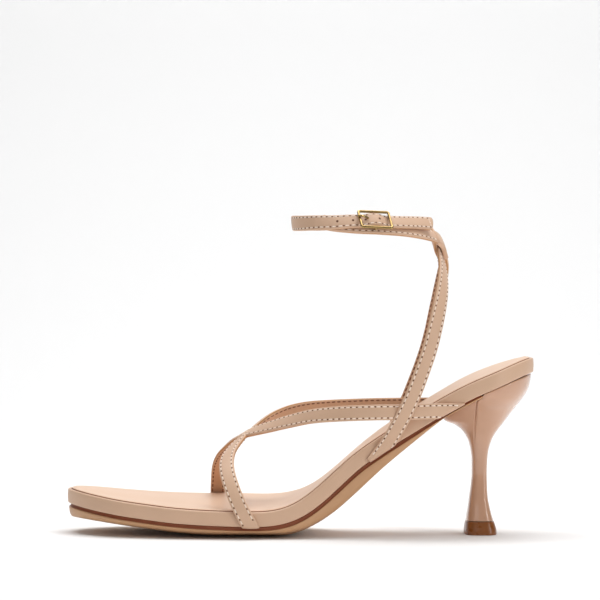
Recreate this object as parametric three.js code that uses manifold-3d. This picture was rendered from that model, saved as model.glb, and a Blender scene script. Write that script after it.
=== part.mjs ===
// A left strappy sandal on a high spool heel, standing on its sole.
// Millimetres, +Z up. The toe points to -X, the outer (lateral) side faces -Y, the inner (medial) side +Y.
// The origin is the centre of the top lift's bottom face, on the floor.
import * as THREE from "three";
import { mergeVertices } from "three/addons/utils/BufferGeometryUtils.js";
import Module from "manifold-3d";

const wasm = await Module();
wasm.setup();

// Driving dimensions
const footLength = 216.5; // heel's back to toe tip, along X
const heelBack = 25; // how far the footbed reaches behind the heel's axis
const ballWidth = 76.9; // lateral to medial edge at the ball
const seatHeight = 82; // floor to the footbed's top at the back of the heel
const bedThickness = 6.6; // the wrapped board's side wall, square to its slope
const rimWidth = 1.5; // the footbed's rim around the insole pad
const padRecess = 1.6; // depth of the pad's seat below the rim
const padDome = 1.1; // rise of the pad's middle above the rim
const soleInset = 0.5; // the outsole's edge inside the footbed's edge
const ledgeWidth = 2.2; // the reveal between footbed and outsole runs this far in
const reveal = 1.2; // height of that reveal
const soleEnd = -1; // X of the outsole's back end, tucked between footbed and heel
const soleEdge = 0.8; // the outsole's edge is at least this thick
const liftHeight = 6; // top lift
const seatMargin = 3.2; // the heel's seat is cut this far beyond the footbed's edge
const heelHeight = 84; // floor to above the heel's seat, before the seat is cut
const heelWidth = 48.2; // the heel's width at its top
const heelDepth = 42; // lip to back at its top
const strapWidth = 7;
const strapThickness = 1.6;
const strapDome = 0.25; // the outer face stands this much higher along its middle
const ankleHeight = 147; // heights along the straps are shares of this, a little below their top
const buckleLength = 15.3; // along the strap, outside
const buckleHeight = 11.6; // across the strap, outside
const wire = 0.62; // radius of the buckle's bars
const prongRadius = 0.5;
const prongHoleSlack = 0.35; // play of the prong in its hole
const buckleForward = 0.233; // place of the buckle's centre bar, share of the foot's length
const buckleLift = 2.55; // the frame's rails stand this far outside its centre bar
const buckleTurn = 2.2; // degrees that the frame lies turned on the strap, its toe end down
const buckleDip = 1.3; // the centre bar's ends step down to it over this height
const clear = 0.3; // clearance between neighbouring pieces
const lapUpright = 0.12; // how much less the free end leans than the strap under it, as a slope

const boardRows = 44; // rows of points along the footbed and the outsole
const padRows = 40; // rows along the pad and its seat
const bunching = 0.65; // how much the rows crowd at heel and toe
const slopeStep = 2; // the board's slope is read over this distance to either side
const turnUpReach = 0.36; // share of the outsole's width over which an edge turns up
const heelSides = 28; // points around the heel's sections
const liftSquare = 3.2; // the top lift's outline, between an ellipse (2) and a box
const degrees = Math.PI / 180;

// A table of named columns: one object for each row.
function table(columns, ...rows) {
  const names = columns.split(" ");
  return rows.map((row) => Object.fromEntries(names.map((name, i) => [name, row[i]])));
}

// Smooth, monotone reading of one column of a table, by the column named key.
function reader(rows, key, column) {
  const x = rows.map((row) => row[key]);
  const y = rows.map((row) => row[column]);
  const last = x.length - 1;
  const rise = x.slice(1).map((v, i) => (y[i + 1] - y[i]) / (v - x[i]));
  const slope = x.map((v, i) => {
    if (i === 0) return rise[0];
    if (i === last) return rise[last - 1];
    if (rise[i - 1] * rise[i] <= 0) return 0;
    return (2 * rise[i - 1] * rise[i]) / (rise[i - 1] + rise[i]);
  });
  return (at) => {
    const v = Math.min(Math.max(at, x[0]), x[last]);
    let i = 0;
    while (i < last - 1 && v > x[i + 1]) i++;
    const h = x[i + 1] - x[i];
    const t = (v - x[i]) / h;
    const from = y[i] + t * t * ((3 - 2 * t) * (y[i + 1] - y[i]));
    return from + h * t * (1 - t) * ((1 - t) * slope[i] - t * slope[i + 1]);
  };
}

// Turns triangles over a list of points into a solid: shared points merged, collapsed faces dropped.
function solidOf(points, faces) {
  const raw = new THREE.BufferGeometry().setFromPoints(points).setIndex(faces.flat());
  const merged = mergeVertices(raw, 1e-4);
  const index = merged.index.array;
  const kept = [];
  for (let i = 0; i < index.length; i += 3) {
    const [a, b, c] = index.slice(i, i + 3);
    if (a !== b && b !== c && c !== a) kept.push(a, b, c);
  }
  return new wasm.Manifold(
    new wasm.Mesh({
      numProp: 3,
      vertProperties: merged.attributes.position.array,
      triVerts: new Uint32Array(kept),
    }),
  );
}

// Closed rings of equally many points, joined one to the next, with a fan over each end.
function loft(rings) {
  const size = rings[0].length;
  const points = rings.flat();
  const faces = [];
  for (let r = 0; r + 1 < rings.length; r++) {
    for (let i = 0; i < size; i++) {
      const [a, b] = [r * size + i, r * size + ((i + 1) % size)];
      faces.push([a, b, b + size], [a, b + size, a + size]);
    }
  }
  for (const [ring, turn] of [[0, -1], [rings.length - 1, 1]]) {
    const middle = new THREE.Vector3();
    rings[ring].forEach((p) => middle.addScaledVector(p, 1 / size));
    points.push(middle);
    const m = points.length - 1;
    for (let i = 0; i < size; i++) {
      const [a, b] = [ring * size + i, ring * size + ((i + 1) % size)];
      faces.push(turn > 0 ? [a, b, m] : [b, a, m]);
    }
  }
  const made = solidOf(points, faces);
  if (made.volume() > 0) return made;
  return solidOf(points, faces.map(([a, b, c]) => [a, c, b]));
}

// The last's plan and heights. along: share of the foot's length from its back end.
// lateral and medial: the edges, shares of the ball's width from the heel's axis.
// lateralTop and medialTop: the footbed's upper edges, shares of the seat's height.
const last = table(
  "along lateral medial lateralTop medialTop",
  [0.0, 0.071, 0.071, 0.995, 0.996],
  [0.004, -0.041, 0.17, 0.993, 0.995],
  [0.014, -0.134, 0.235, 0.986, 0.989],
  [0.032, -0.221, 0.292, 0.972, 0.978],
  [0.06, -0.299, 0.334, 0.943, 0.955],
  [0.097, -0.347, 0.352, 0.901, 0.921],
  [0.143, -0.345, 0.34, 0.85, 0.868],
  [0.198, -0.33, 0.303, 0.775, 0.786],
  [0.263, -0.318, 0.267, 0.671, 0.684],
  [0.328, -0.313, 0.244, 0.565, 0.571],
  [0.383, -0.317, 0.257, 0.466, 0.452],
  [0.43, -0.332, 0.311, 0.358, 0.34],
  [0.467, -0.352, 0.381, 0.27, 0.262],
  [0.503, -0.373, 0.449, 0.201, 0.216],
  [0.54, -0.385, 0.513, 0.16, 0.193],
  [0.582, -0.391, 0.564, 0.147, 0.185],
  [0.633, -0.394, 0.596, 0.149, 0.186],
  [0.688, -0.389, 0.606, 0.154, 0.186],
  [0.753, -0.368, 0.593, 0.164, 0.189],
  [0.818, -0.322, 0.559, 0.182, 0.199],
  [0.873, -0.276, 0.532, 0.2, 0.211],
  [0.919, -0.199, 0.485, 0.218, 0.225],
  [0.956, -0.107, 0.419, 0.234, 0.238],
  [0.984, 0.003, 0.33, 0.246, 0.247],
  [0.996, 0.088, 0.255, 0.251, 0.251],
  [1.0, 0.174, 0.174, 0.252, 0.252],
);

// The outsole's underside. tread: height of its middle, share of the seat's height.
// lateralLift and medialLift: how much the edges turn up, shares of the seat's height.
// narrow: how far the sole stands in from the footbed's edge, share of the ball's width.
const under = table(
  "along tread lateralLift medialLift narrow",
  [0.11, 0.795, 0.0, 0.0, 0.03],
  [0.143, 0.76, 0.004, 0.004, 0.026],
  [0.198, 0.655, 0.008, 0.008, 0.018],
  [0.263, 0.515, 0.014, 0.014, 0.012],
  [0.328, 0.37, 0.018, 0.018, 0.008],
  [0.383, 0.234, 0.02, 0.02, 0.006],
  [0.43, 0.126, 0.024, 0.026, 0.004],
  [0.467, 0.062, 0.028, 0.036, 0.0],
  [0.503, 0.019, 0.034, 0.052, 0.0],
  [0.54, 0.0, 0.038, 0.062, 0.0],
  [0.68, 0.0, 0.038, 0.064, 0.0],
  [0.753, 0.012, 0.036, 0.056, 0.0],
  [0.818, 0.032, 0.032, 0.044, 0.0],
  [0.873, 0.051, 0.028, 0.034, 0.0],
  [0.919, 0.067, 0.024, 0.026, 0.0],
  [0.956, 0.079, 0.02, 0.02, 0.0],
  [1.0, 0.092, 0.018, 0.018, 0.0],
);

const alongAt = (x) => (heelBack - x) / footLength;
const lastColumn = (name) => {
  const read = reader(last, "along", name);
  return (x) => read(alongAt(x));
};
const lateralAt = lastColumn("lateral");
const medialAt = lastColumn("medial");
const lateralTopAt = lastColumn("lateralTop");
const medialTopAt = lastColumn("medialTop");
const underColumn = (name) => {
  const read = reader(under, "along", name);
  return (x) => read(alongAt(x));
};
const treadAt = underColumn("tread");
const lateralLiftAt = underColumn("lateralLift");
const medialLiftAt = underColumn("medialLift");
const narrowAt = underColumn("narrow");

// Share of the way across the footbed, 0 at the lateral edge and 1 at the medial edge.
function across(x, y) {
  const from = lateralAt(x) * ballWidth;
  const to = medialAt(x) * ballWidth;
  if (to - from < 1) return 0.5;
  return Math.min(Math.max((y - from) / (to - from), 0), 1);
}

function bedTop(x, y) {
  const u = across(x, y);
  return seatHeight * (lateralTopAt(x) * (1 - u) + medialTopAt(x) * u);
}

// The board keeps its thickness square to its own slope.
function bedBottom(x, y) {
  const slope = (bedTop(x + slopeStep, y) - bedTop(x - slopeStep, y)) / (2 * slopeStep);
  return bedTop(x, y) - bedThickness * Math.sqrt(1 + slope * slope);
}

// The plan outline moved inwards by a distance (outwards when negative): its edges at any X.
function planInset(distance, extra = () => 0) {
  const samples = 220;
  const edge = [];
  for (let i = 0; i <= samples; i++) {
    const x = heelBack - footLength * 0.5 * (1 - Math.cos((Math.PI * i) / samples));
    edge.push([x, lateralAt(x) * ballWidth + extra(x), medialAt(x) * ballWidth - extra(x)]);
  }
  const side = (column, sign) => {
    const moved = edge.map((p, i) => {
      const a = edge[Math.max(i - 1, 0)];
      const b = edge[Math.min(i + 1, samples)];
      const run = new THREE.Vector2(b[0] - a[0], b[column] - a[column]).normalize();
      return [p[0] + sign * run.y * distance, p[column] - sign * run.x * distance];
    });
    return moved;
  };
  const find = (line) => (x) => {
    for (let i = 0; i + 1 < line.length; i++) {
      const [p, q] = [line[i], line[i + 1]];
      if ((p[0] >= x) !== (q[0] >= x)) return p[1] + ((q[1] - p[1]) * (x - p[0])) / (q[0] - p[0]);
    }
    return x > 0 ? line[0][1] : line[line.length - 1][1];
  };
  const lateral = find(side(1, 1));
  const medial = find(side(2, -1));
  return { lateral, medial, back: heelBack - distance, tip: heelBack - footLength + distance };
}

// A solid between two height functions over a plan outline.
// cuts: shares across the width where the columns of points lie.
function slab(plan, top, bottom, rows, cuts, back = plan.back, tip = plan.tip) {
  const points = [];
  for (let r = 0; r <= rows; r++) {
    const even = r / rows;
    const bunched = 0.5 * (1 - Math.cos(Math.PI * even));
    const x = back + (tip - back) * ((1 - bunching) * even + bunching * bunched);
    const from = plan.lateral(x);
    const to = plan.medial(x);
    const [low, high] = from < to ? [from, to] : [(from + to) / 2, (from + to) / 2];
    const line = cuts.map((u) => low + (high - low) * u);
    line.forEach((y) => points.push(new THREE.Vector3(x, y, top(x, y))));
    line.forEach((y) => points.push(new THREE.Vector3(x, y, bottom(x, y))));
  }
  const n = cuts.length;
  const faces = [];
  const quad = (a, b, c, d) => faces.push([a, b, c], [a, c, d]);
  for (let r = 0; r < rows; r++) {
    const [here, next] = [2 * n * r, 2 * n * (r + 1)];
    for (let i = 0; i + 1 < n; i++) {
      quad(here + i, here + i + 1, next + i + 1, next + i);
      quad(here + n + i, next + n + i, next + n + i + 1, here + n + i + 1);
    }
    quad(here, next, next + n, here + n);
    quad(here + n - 1, here + 2 * n - 1, next + 2 * n - 1, next + n - 1);
  }
  const end = 2 * n * rows;
  for (let i = 0; i + 1 < n; i++) {
    quad(i, n + i, n + i + 1, i + 1);
    quad(end + i, end + i + 1, end + n + i + 1, end + n + i);
  }
  return solidOf(points, faces);
}

const evenCuts = [0, 0.08, 0.25, 0.5, 0.75, 0.92, 1];
const edgeCuts = [0, 0.06, 0.13, 0.22, 0.34, 0.5, 0.66, 0.78, 0.87, 0.94, 1];
const bedPlan = planInset(0);

// Footbed: the wrapped board with the pad's seat sunk into it.
function footbed() {
  const board = slab(bedPlan, bedTop, bedBottom, boardRows, evenCuts);
  const seat = slab(
    planInset(rimWidth),
    (x, y) => bedTop(x, y) + bedThickness,
    (x, y) => bedTop(x, y) - padRecess,
    padRows,
    evenCuts,
  );
  return board.subtract(seat);
}

// Insole pad: domed a little, its edge level with the rim.
function insolePad() {
  const plan = planInset(rimWidth + clear);
  const dome = (x, y) => {
    const u = across(x, y);
    return bedTop(x, y) + padDome * (4 * u * (1 - u)) ** 1.5;
  };
  return slab(plan, dome, (x, y) => bedTop(x, y) - padRecess + clear, padRows, evenCuts);
}

const solePlan = planInset(soleInset, (x) => narrowAt(x) * ballWidth);

// The outsole's underside: level across its middle, turned up towards both edges.
function soleBottom(x, y) {
  const u = across(x, y);
  const rise = (share, lift) => lift * Math.max(0, 1 - share / turnUpReach) ** 2;
  const lift = rise(u, lateralLiftAt(x)) + rise(1 - u, medialLiftAt(x));
  const turned = seatHeight * (treadAt(x) + lift);
  return Math.min(turned, bedBottom(x, y) - reveal - soleEdge);
}

// Outsole: a tread with a ledge at its edge and a raised core that carries the footbed.
function outsole() {
  const ledge = (x, y) => bedBottom(x, y) - reveal;
  const tread = slab(solePlan, ledge, soleBottom, boardRows, edgeCuts, soleEnd);
  const corePlan = planInset(soleInset + ledgeWidth, (x) => narrowAt(x) * ballWidth);
  const coreTop = (x, y) => bedBottom(x, y) - clear;
  const coreFoot = (x, y) => (ledge(x, y) + soleBottom(x, y)) / 2;
  return tread.add(slab(corePlan, coreTop, coreFoot, padRows, evenCuts, soleEnd - ledgeWidth));
}

// The heel's level sections. up: share of its height. lip and back: shares of its depth, from its axis.
// lateral and medial: shares of its width. square: 2 is an ellipse, more is boxier.
const heelSections = table(
  "up lip back lateral medial square",
  [0.075, -0.16, 0.14, -0.172, 0.187, 3.2],
  [0.12, -0.147, 0.114, -0.156, 0.162, 3.2],
  [0.155, -0.136, 0.098, -0.143, 0.145, 3.2],
  [0.2, -0.124, 0.081, -0.129, 0.127, 3.2],
  [0.26, -0.107, 0.074, -0.114, 0.116, 3.2],
  [0.333, -0.095, 0.071, -0.104, 0.114, 3.2],
  [0.405, -0.095, 0.076, -0.104, 0.114, 3.2],
  [0.452, -0.105, 0.086, -0.112, 0.118, 3.1],
  [0.5, -0.124, 0.112, -0.122, 0.131, 3.0],
  [0.536, -0.155, 0.143, -0.141, 0.145, 2.9],
  [0.571, -0.205, 0.19, -0.172, 0.172, 2.8],
  [0.6, -0.285, 0.236, -0.207, 0.205, 2.7],
  [0.62, -0.385, 0.266, -0.232, 0.229, 2.6],
  [0.65, -0.425, 0.31, -0.278, 0.268, 2.5],
  [0.68, -0.43, 0.357, -0.328, 0.315, 2.4],
  [0.714, -0.43, 0.412, -0.404, 0.386, 2.3],
  [0.75, -0.43, 0.467, -0.458, 0.446, 2.3],
  [0.786, -0.43, 0.51, -0.471, 0.481, 2.3],
  [0.821, -0.43, 0.535, -0.474, 0.5, 2.3],
  [0.87, -0.43, 0.55, -0.474, 0.502, 2.3],
  [0.93, -0.43, 0.555, -0.474, 0.502, 2.3],
);

// One level section: a rounded outline with its own reach to each side.
function levelRing(z, lip, back, lateral, medial, square, sides) {
  const ring = [];
  for (let i = 0; i < sides; i++) {
    const angle = (2 * Math.PI * i) / sides;
    const bend = (v) => Math.sign(v) * Math.abs(v) ** (2 / square);
    const [c, s] = [bend(Math.cos(angle)), bend(Math.sin(angle))];
    ring.push(new THREE.Vector3(c > 0 ? c * back : -c * lip, s > 0 ? s * medial : -s * lateral, z));
  }
  return ring;
}

// Heel: the sections joined, its seat cut to the footbed's and the outsole's undersides.
function heel() {
  const rings = heelSections.map((row) =>
    levelRing(
      Math.max(row.up * heelHeight, liftHeight + clear),
      row.lip * heelDepth,
      row.back * heelDepth,
      row.lateral * heelWidth,
      row.medial * heelWidth,
      row.square,
      heelSides,
    ),
  );
  const above = (x, y) => bedTop(x, y) + heelHeight;
  const wide = planInset(-seatMargin);
  const bedSpace = slab(wide, above, (x, y) => bedBottom(x, y) - clear, boardRows, evenCuts);
  const soleSpace = slab(
    wide,
    above,
    (x, y) => soleBottom(x, y) - clear,
    boardRows,
    edgeCuts,
    soleEnd + clear,
  );
  return loft(rings).subtract(bedSpace).subtract(soleSpace);
}

// Top lift: the flared wear piece under the heel, flat on the floor.
const liftSections = table(
  "up lip back lateral medial",
  [0, -0.171, 0.171, -0.21, 0.21],
  [0.12, -0.175, 0.174, -0.212, 0.213],
  [1, -0.162, 0.146, -0.176, 0.191],
);

function topLift() {
  return loft(
    liftSections.map((row) =>
      levelRing(
        row.up * liftHeight,
        row.lip * heelDepth,
        row.back * heelDepth,
        row.lateral * heelWidth,
        row.medial * heelWidth,
        liftSquare,
        heelSides,
      ),
    ),
  );
}

// The straps' routes, along the middle of their inner faces. forward: share of the foot's length from the
// heel's axis. side: share of the ball's width, or the side wall that the strap lies on. up: share of the
// ankle strap's height.
// facing: degrees, 0 faces the lateral side, 90 the back, 180 the medial side, 270 the toe.
// lean: degrees that the face looks upwards.
const routeColumns = "forward side up facing lean";

const lateralAnkleStrap = table(
  routeColumns,
  [0.233, "lateral", 0.228, 0, 0],
  [0.21, "lateral", 0.272, 2, 0],
  [0.187, -0.365, 0.33, 4, 0],
  [0.166, -0.4, 0.391, 7, 0],
  [0.149, -0.42, 0.449, 10, 0],
  [0.133, -0.426, 0.514, 13, 0],
  [0.119, -0.417, 0.574, 16, 0],
  [0.108, -0.389, 0.635, 20, 0],
  [0.098, -0.334, 0.697, 27, 0],
  [0.09, -0.255, 0.755, 36, 0],
  [0.086, -0.162, 0.806, 46, 0],
  [0.087, -0.065, 0.848, 58, 2],
  [0.092, 0.026, 0.888, 72, 8],
  [0.097, 0.117, 0.927, 92, 16],
  [0.107, 0.208, 0.955, 118, 22],
  [0.127, 0.299, 0.974, 142, 28],
  [0.162, 0.375, 0.984, 162, 28],
  [0.212, 0.408, 0.988, 176, 26],
  [0.273, 0.398, 0.988, 190, 23],
  [0.328, 0.338, 0.984, 215, 16],
  [0.37, 0.228, 0.981, 238, 6],
  [0.39, 0.091, 0.977, 258, -4],
  [0.392, -0.053, 0.971, 282, -5],
  [0.373, -0.187, 0.965, 308, 6],
  [0.343, -0.28, 0.962, 328, 18],
  [0.31, -0.333, 0.96, 343, 25],
);

const medialAnkleStrap = table(
  routeColumns,
  [0.222, "medial", 0.24, 180, 0],
  [0.199, "medial", 0.284, 178, 0],
  [0.175, 0.325, 0.33, 175, 0],
  [0.154, 0.404, 0.391, 171, 0],
  [0.137, 0.427, 0.449, 167, 0],
  [0.12, 0.425, 0.514, 163, 0],
  [0.107, 0.403, 0.574, 158, 0],
  [0.097, 0.363, 0.635, 154, 0],
  [0.09, 0.307, 0.697, 150, 0],
  [0.083, 0.235, 0.762, 143, 0],
  [0.078, 0.163, 0.82, 130, 0],
  [0.076, 0.108, 0.857, 114, 2],
  [0.082, 0.05, 0.888, 98, 12],
  [0.088, -0.01, 0.912, 80, 24],
  [0.104, -0.075, 0.925, 60, 36],
  [0.13, -0.165, 0.931, 42, 42],
  [0.172, -0.255, 0.937, 28, 45],
  [0.226, -0.311, 0.941, 16, 45],
  [0.262, -0.328, 0.944, 6, 40],
  [0.285, -0.33, 0.948, -4, 36],
  [0.307, -0.309, 0.954, -17, 29],
  [0.337, -0.255, 0.965, -32, 25],
);

const lateralInstepStrap = table(
  routeColumns,
  [0.042, "lateral", 0.389, 0, 0],
  [0.074, "lateral", 0.389, 0, 0],
  [0.12, -0.361, 0.388, -2, 0],
  [0.166, -0.382, 0.386, -4, 0],
  [0.217, -0.381, 0.385, -8, 3],
  [0.268, -0.356, 0.382, -14, 8],
  [0.314, -0.307, 0.377, -24, 16],
  [0.356, -0.242, 0.369, -34, 26],
  [0.397, -0.164, 0.356, -45, 36],
  [0.439, -0.078, 0.339, -60, 46],
  [0.48, 0.021, 0.315, -80, 54],
  [0.513, 0.124, 0.287, -108, 57],
  [0.536, 0.241, 0.259, -138, 55],
  [0.552, 0.357, 0.228, -160, 48],
  [0.562, 0.469, 0.19, -172, 36],
  [0.566, 0.559, 0.14, -178, 18],
  [0.568, "medial", 0.088, -180, 4],
  [0.568, "medial", 0.03, -180, 0],
);

const medialInstepStrap = table(
  routeColumns,
  [0.037, "medial", 0.398, 180, 0],
  [0.074, "medial", 0.399, 180, 0],
  [0.12, 0.356, 0.399, 182, 0],
  [0.166, 0.397, 0.398, 184, 0],
  [0.222, 0.429, 0.396, 188, 2],
  [0.277, 0.429, 0.393, 195, 6],
  [0.323, 0.395, 0.39, 205, 12],
  [0.365, 0.338, 0.386, 216, 20],
  [0.406, 0.266, 0.376, 228, 30],
  [0.448, 0.174, 0.35, 243, 42],
  [0.478, 0.114, 0.322, 258, 50],
  [0.505, 0.041, 0.294, 275, 56],
  [0.524, -0.059, 0.267, 297, 55],
  [0.534, -0.163, 0.238, 320, 48],
  [0.534, -0.267, 0.201, 340, 38],
  [0.523, -0.351, 0.152, 354, 18],
  [0.506, "lateral", 0.095, 360, 3],
  [0.481, "lateral", 0.026, 360, 0],
);

// The fold's inner layer: it runs inside the lateral ankle strap and joins the medial one on both sides.
const tunnelLining = table(
  routeColumns,
  [0.076, 0.142, 0.836, 118, 0],
  [0.085, 0.095, 0.864, 102, 2],
  [0.096, 0.046, 0.89, 88, 10],
  [0.103, -0.01, 0.912, 74, 24],
  [0.107, -0.07, 0.929, 58, 36],
);

function facingVector(facing, lean) {
  const [f, l] = [facing * degrees, lean * degrees];
  return new THREE.Vector3(
    Math.sin(f) * Math.cos(l),
    -Math.cos(f) * Math.cos(l),
    Math.sin(l),
  );
}

// Where a strap's inner face lies on the footbed's side wall.
const wallPlan = planInset(-clear);
const rimSide = { lateral: wallPlan.lateral, medial: wallPlan.medial };

// Stations of a route: places with the direction that the strap's face looks in.
function stationsOf(rows) {
  return rows.map((row) => {
    const x = -row.forward * footLength;
    const y = row.side in rimSide ? rimSide[row.side](x) : row.side * ballWidth;
    return { at: new THREE.Vector3(x, y, row.up * ankleHeight), out: facingVector(row.facing, row.lean) };
  });
}

// A smooth route through stations, with the directions out of its face and across its width.
function routeOf(stations, step = 3) {
  const curve = new THREE.CatmullRomCurve3(stations.map((s) => s.at), false, "centripetal");
  const facing = new THREE.CatmullRomCurve3(stations.map((s) => s.out), false, "centripetal");
  const count = Math.ceil(curve.getLength() / step);
  const route = [];
  for (let i = 0; i <= count; i++) {
    const t = curve.getUtoTmapping(i / count);
    const tangent = curve.getTangent(t);
    const out = facing.getPoint(t);
    out.addScaledVector(tangent, -out.dot(tangent)).normalize();
    const up = new THREE.Vector3().crossVectors(out, tangent).normalize();
    route.push({ at: curve.getPoint(t), out, up, tangent });
  }
  return route;
}

// Lifts a route over the buckle's centre bar, as a smooth hump of the given height and half length.
function humpOver(route, centre, height, reach) {
  return route.map((spot) => {
    const away = spot.at.distanceTo(centre) / reach;
    const rise = away < 1 ? height * Math.cos((away * Math.PI) / 2) ** 2 : 0;
    return { ...spot, at: spot.at.clone().addScaledVector(spot.out, rise) };
  });
}

// A strap: a flat band with a slightly domed outer face, swept along its route.
function strap(route) {
  const half = strapWidth / 2;
  const section = [
    [-half, 0],
    [-half, strapThickness],
    [0, strapThickness + strapDome],
    [half, strapThickness],
    [half, 0],
  ];
  const ring = ({ at, out, up }) =>
    section.map(([w, t]) => at.clone().addScaledVector(up, w).addScaledVector(out, t));
  return loft(route.map(ring));
}

const medialRoute = routeOf(stationsOf(medialAnkleStrap), 1);
const layer = strapThickness + strapDome + clear; // from one strap's inner face to that of the strap over it

// The medial ankle strap's spot nearest to an X, on its stretch along the ankle's outer side.
function medialSpot(x) {
  const stretch = medialRoute.slice(Math.floor(medialRoute.length * 0.62));
  return stretch.reduce((best, p) => (Math.abs(p.at.x - x) < Math.abs(best.at.x - x) ? p : best));
}

// The free end's way over the medial strap, which it crosses a little more upright.
// rise: share of the strap's width that it lies higher.
const lap = table(
  "forward rise",
  [0.275, 0.17],
  [0.25, 0.22],
  [0.226, 0.28],
  [0.2, 0.32],
  [0.17, 0.4],
  [0.14, 0.56],
);

// The free end's tip: it stands off the ankle, straighter than the strap under it.
const freeEnd = table(
  routeColumns,
  [0.125, -0.147, 0.964, 38, 34],
  [0.107, -0.117, 0.963, 38, 32],
);

const lapStations = lap.map(({ forward, rise }) => {
  const spot = medialSpot(-forward * footLength);
  const across = spot.up.clone().multiplyScalar(Math.sign(spot.up.z));
  const at = spot.at
    .clone()
    .addScaledVector(spot.out, layer + clear)
    .addScaledVector(across, rise * strapWidth);
  return { at, out: spot.out.clone().addScaledVector(across, -lapUpright) };
});

const buckleSeat = medialSpot(-buckleForward * footLength);
const buckleOut = buckleSeat.out;
const buckleUp = buckleSeat.up.clone().multiplyScalar(Math.sign(buckleSeat.up.z));
buckleUp.applyAxisAngle(buckleOut, buckleTurn * degrees);
const buckleAlong = new THREE.Vector3().crossVectors(buckleUp, buckleOut);
buckleAlong.multiplyScalar(Math.sign(buckleAlong.x));
const buckleRise = reader(lap.slice().reverse(), "forward", "rise")(buckleForward) * strapWidth;
const barLift = strapThickness + strapDome + clear + wire; // the centre bar's middle over the strap under it
const buckleCentre = buckleSeat.at
  .clone()
  .addScaledVector(buckleOut, barLift)
  .addScaledVector(buckleUp, buckleRise / 2);

const buckleSpot = (along, up, out) =>
  buckleCentre
    .clone()
    .addScaledVector(buckleAlong, along)
    .addScaledVector(buckleUp, up)
    .addScaledVector(buckleOut, out);

// A round bar with mitred ends through the given points.
function bar(points, radius, sides = 8) {
  const rings = points.map((p, i) => {
    const before = points[Math.max(i - 1, 0)];
    const after = points[Math.min(i + 1, points.length - 1)];
    const run = after.clone().sub(before).normalize();
    const beside = Math.abs(run.dot(buckleUp)) > 0.7 ? buckleAlong : buckleUp;
    const a = new THREE.Vector3().crossVectors(run, beside).normalize();
    const b = new THREE.Vector3().crossVectors(run, a);
    return Array.from({ length: sides }, (_, k) => {
      const angle = (2 * Math.PI * (k + 0.5)) / sides;
      const [c, s] = [radius * Math.cos(angle), radius * Math.sin(angle)];
      return p.clone().addScaledVector(a, c).addScaledVector(b, s);
    });
  });
  return loft(rings);
}

// Buckle: a rectangular wire frame, its centre bar stepped down to the strap that holds it.
function buckle() {
  const [l, h] = [buckleLength / 2 - wire, buckleHeight / 2 - wire];
  const side = (from, to) => bar([buckleSpot(...from, buckleLift), buckleSpot(...to, buckleLift)], wire);
  const rail = (up) => side([-l - wire, up], [l + wire, up]);
  const post = (along) => side([along, -h], [along, h]);
  const low = h - buckleDip;
  const centreBar = bar(
    [
      buckleSpot(0, -h, buckleLift),
      buckleSpot(0, -low, 0),
      buckleSpot(0, low, 0),
      buckleSpot(0, h, buckleLift),
    ],
    wire,
  );
  return rail(-h).add(rail(h)).add(post(-l)).add(post(l)).add(centreBar);
}

// Prong: from the centre bar through the strap's hole, resting on the front bar.
function prong(radius) {
  const front = wire - buckleLength / 2;
  const over = buckleLift + wire + clear + prongRadius;
  return bar(
    [
      buckleSpot(-(wire + clear + prongRadius), buckleRise / 2, 0),
      buckleSpot(front * 0.5, buckleRise / 2, over * 0.68),
      buckleSpot(front, buckleRise / 2, over),
      buckleSpot(front - 1.4, buckleRise / 2, over * 0.85),
    ],
    radius,
  );
}

// Upper: the four straps and the fold around the ankle strap, joined where they cross.
function upper() {
  const humpHeight = 2 * wire + clear;
  const humpReach = buckleLength * 0.4;
  const overBar = buckleSeat.at
    .clone()
    .addScaledVector(buckleOut, layer)
    .addScaledVector(buckleUp, buckleRise);
  const ankleRoute = routeOf([...stationsOf(lateralAnkleStrap), ...lapStations, ...stationsOf(freeEnd)], 2.2);
  const ankle = strap(humpOver(ankleRoute, overBar, humpHeight, humpReach));
  const whole = ankle
    .subtract(prong(prongRadius + prongHoleSlack))
    .add(strap(routeOf(stationsOf(medialAnkleStrap))))
    .add(strap(routeOf(stationsOf(lateralInstepStrap))))
    .add(strap(routeOf(stationsOf(medialInstepStrap))))
    .add(strap(routeOf(stationsOf(tunnelLining))));
  const below = slab(
    planInset(-2 * strapWidth),
    (x, y) => bedBottom(x, y) + clear * 0.2,
    (x, y) => bedBottom(x, y) - 3 * strapWidth,
    boardRows,
    evenCuts,
  );
  const beside = slab(
    wallPlan,
    (x, y) => bedTop(x, y) + clear,
    (x, y) => bedBottom(x, y) - clear,
    boardRows,
    evenCuts,
  );
  return whole.subtract(below).subtract(beside);
}

const material = (color, roughness, metalness = 0) =>
  new THREE.MeshStandardMaterial({ color, roughness, metalness });
const leather = material(0xdebca0, 0.55);
const insoleLeather = material(0xe1c3ac, 0.5);
const coveredHeel = material(0xc0988a, 0.2);
const moulded = material(0xb28a64, 0.5);
const liftRubber = material(0x7a4826, 0.35);
const paleGold = material(0xe2cf9c, 0.25, 1);

function mesh(name, solid, surface) {
  const { vertProperties, triVerts } = solid.getMesh();
  const geometry = new THREE.BufferGeometry();
  geometry.setAttribute("position", new THREE.BufferAttribute(vertProperties, 3));
  geometry.setIndex(new THREE.BufferAttribute(triVerts, 1));
  geometry.computeVertexNormals();
  const made = new THREE.Mesh(geometry, surface);
  made.name = name;
  return made;
}

const sandal = new THREE.Group();
sandal.add(mesh("outsole", outsole(), moulded));
sandal.add(mesh("footbed", footbed(), leather));
sandal.add(mesh("insole_pad", insolePad(), insoleLeather));
sandal.add(mesh("heel", heel(), coveredHeel));
sandal.add(mesh("top_lift", topLift(), liftRubber));
sandal.add(mesh("upper", upper(), leather));
sandal.add(mesh("buckle", buckle(), paleGold));
sandal.add(mesh("prong", prong(prongRadius), paleGold));

export default sandal;
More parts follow.
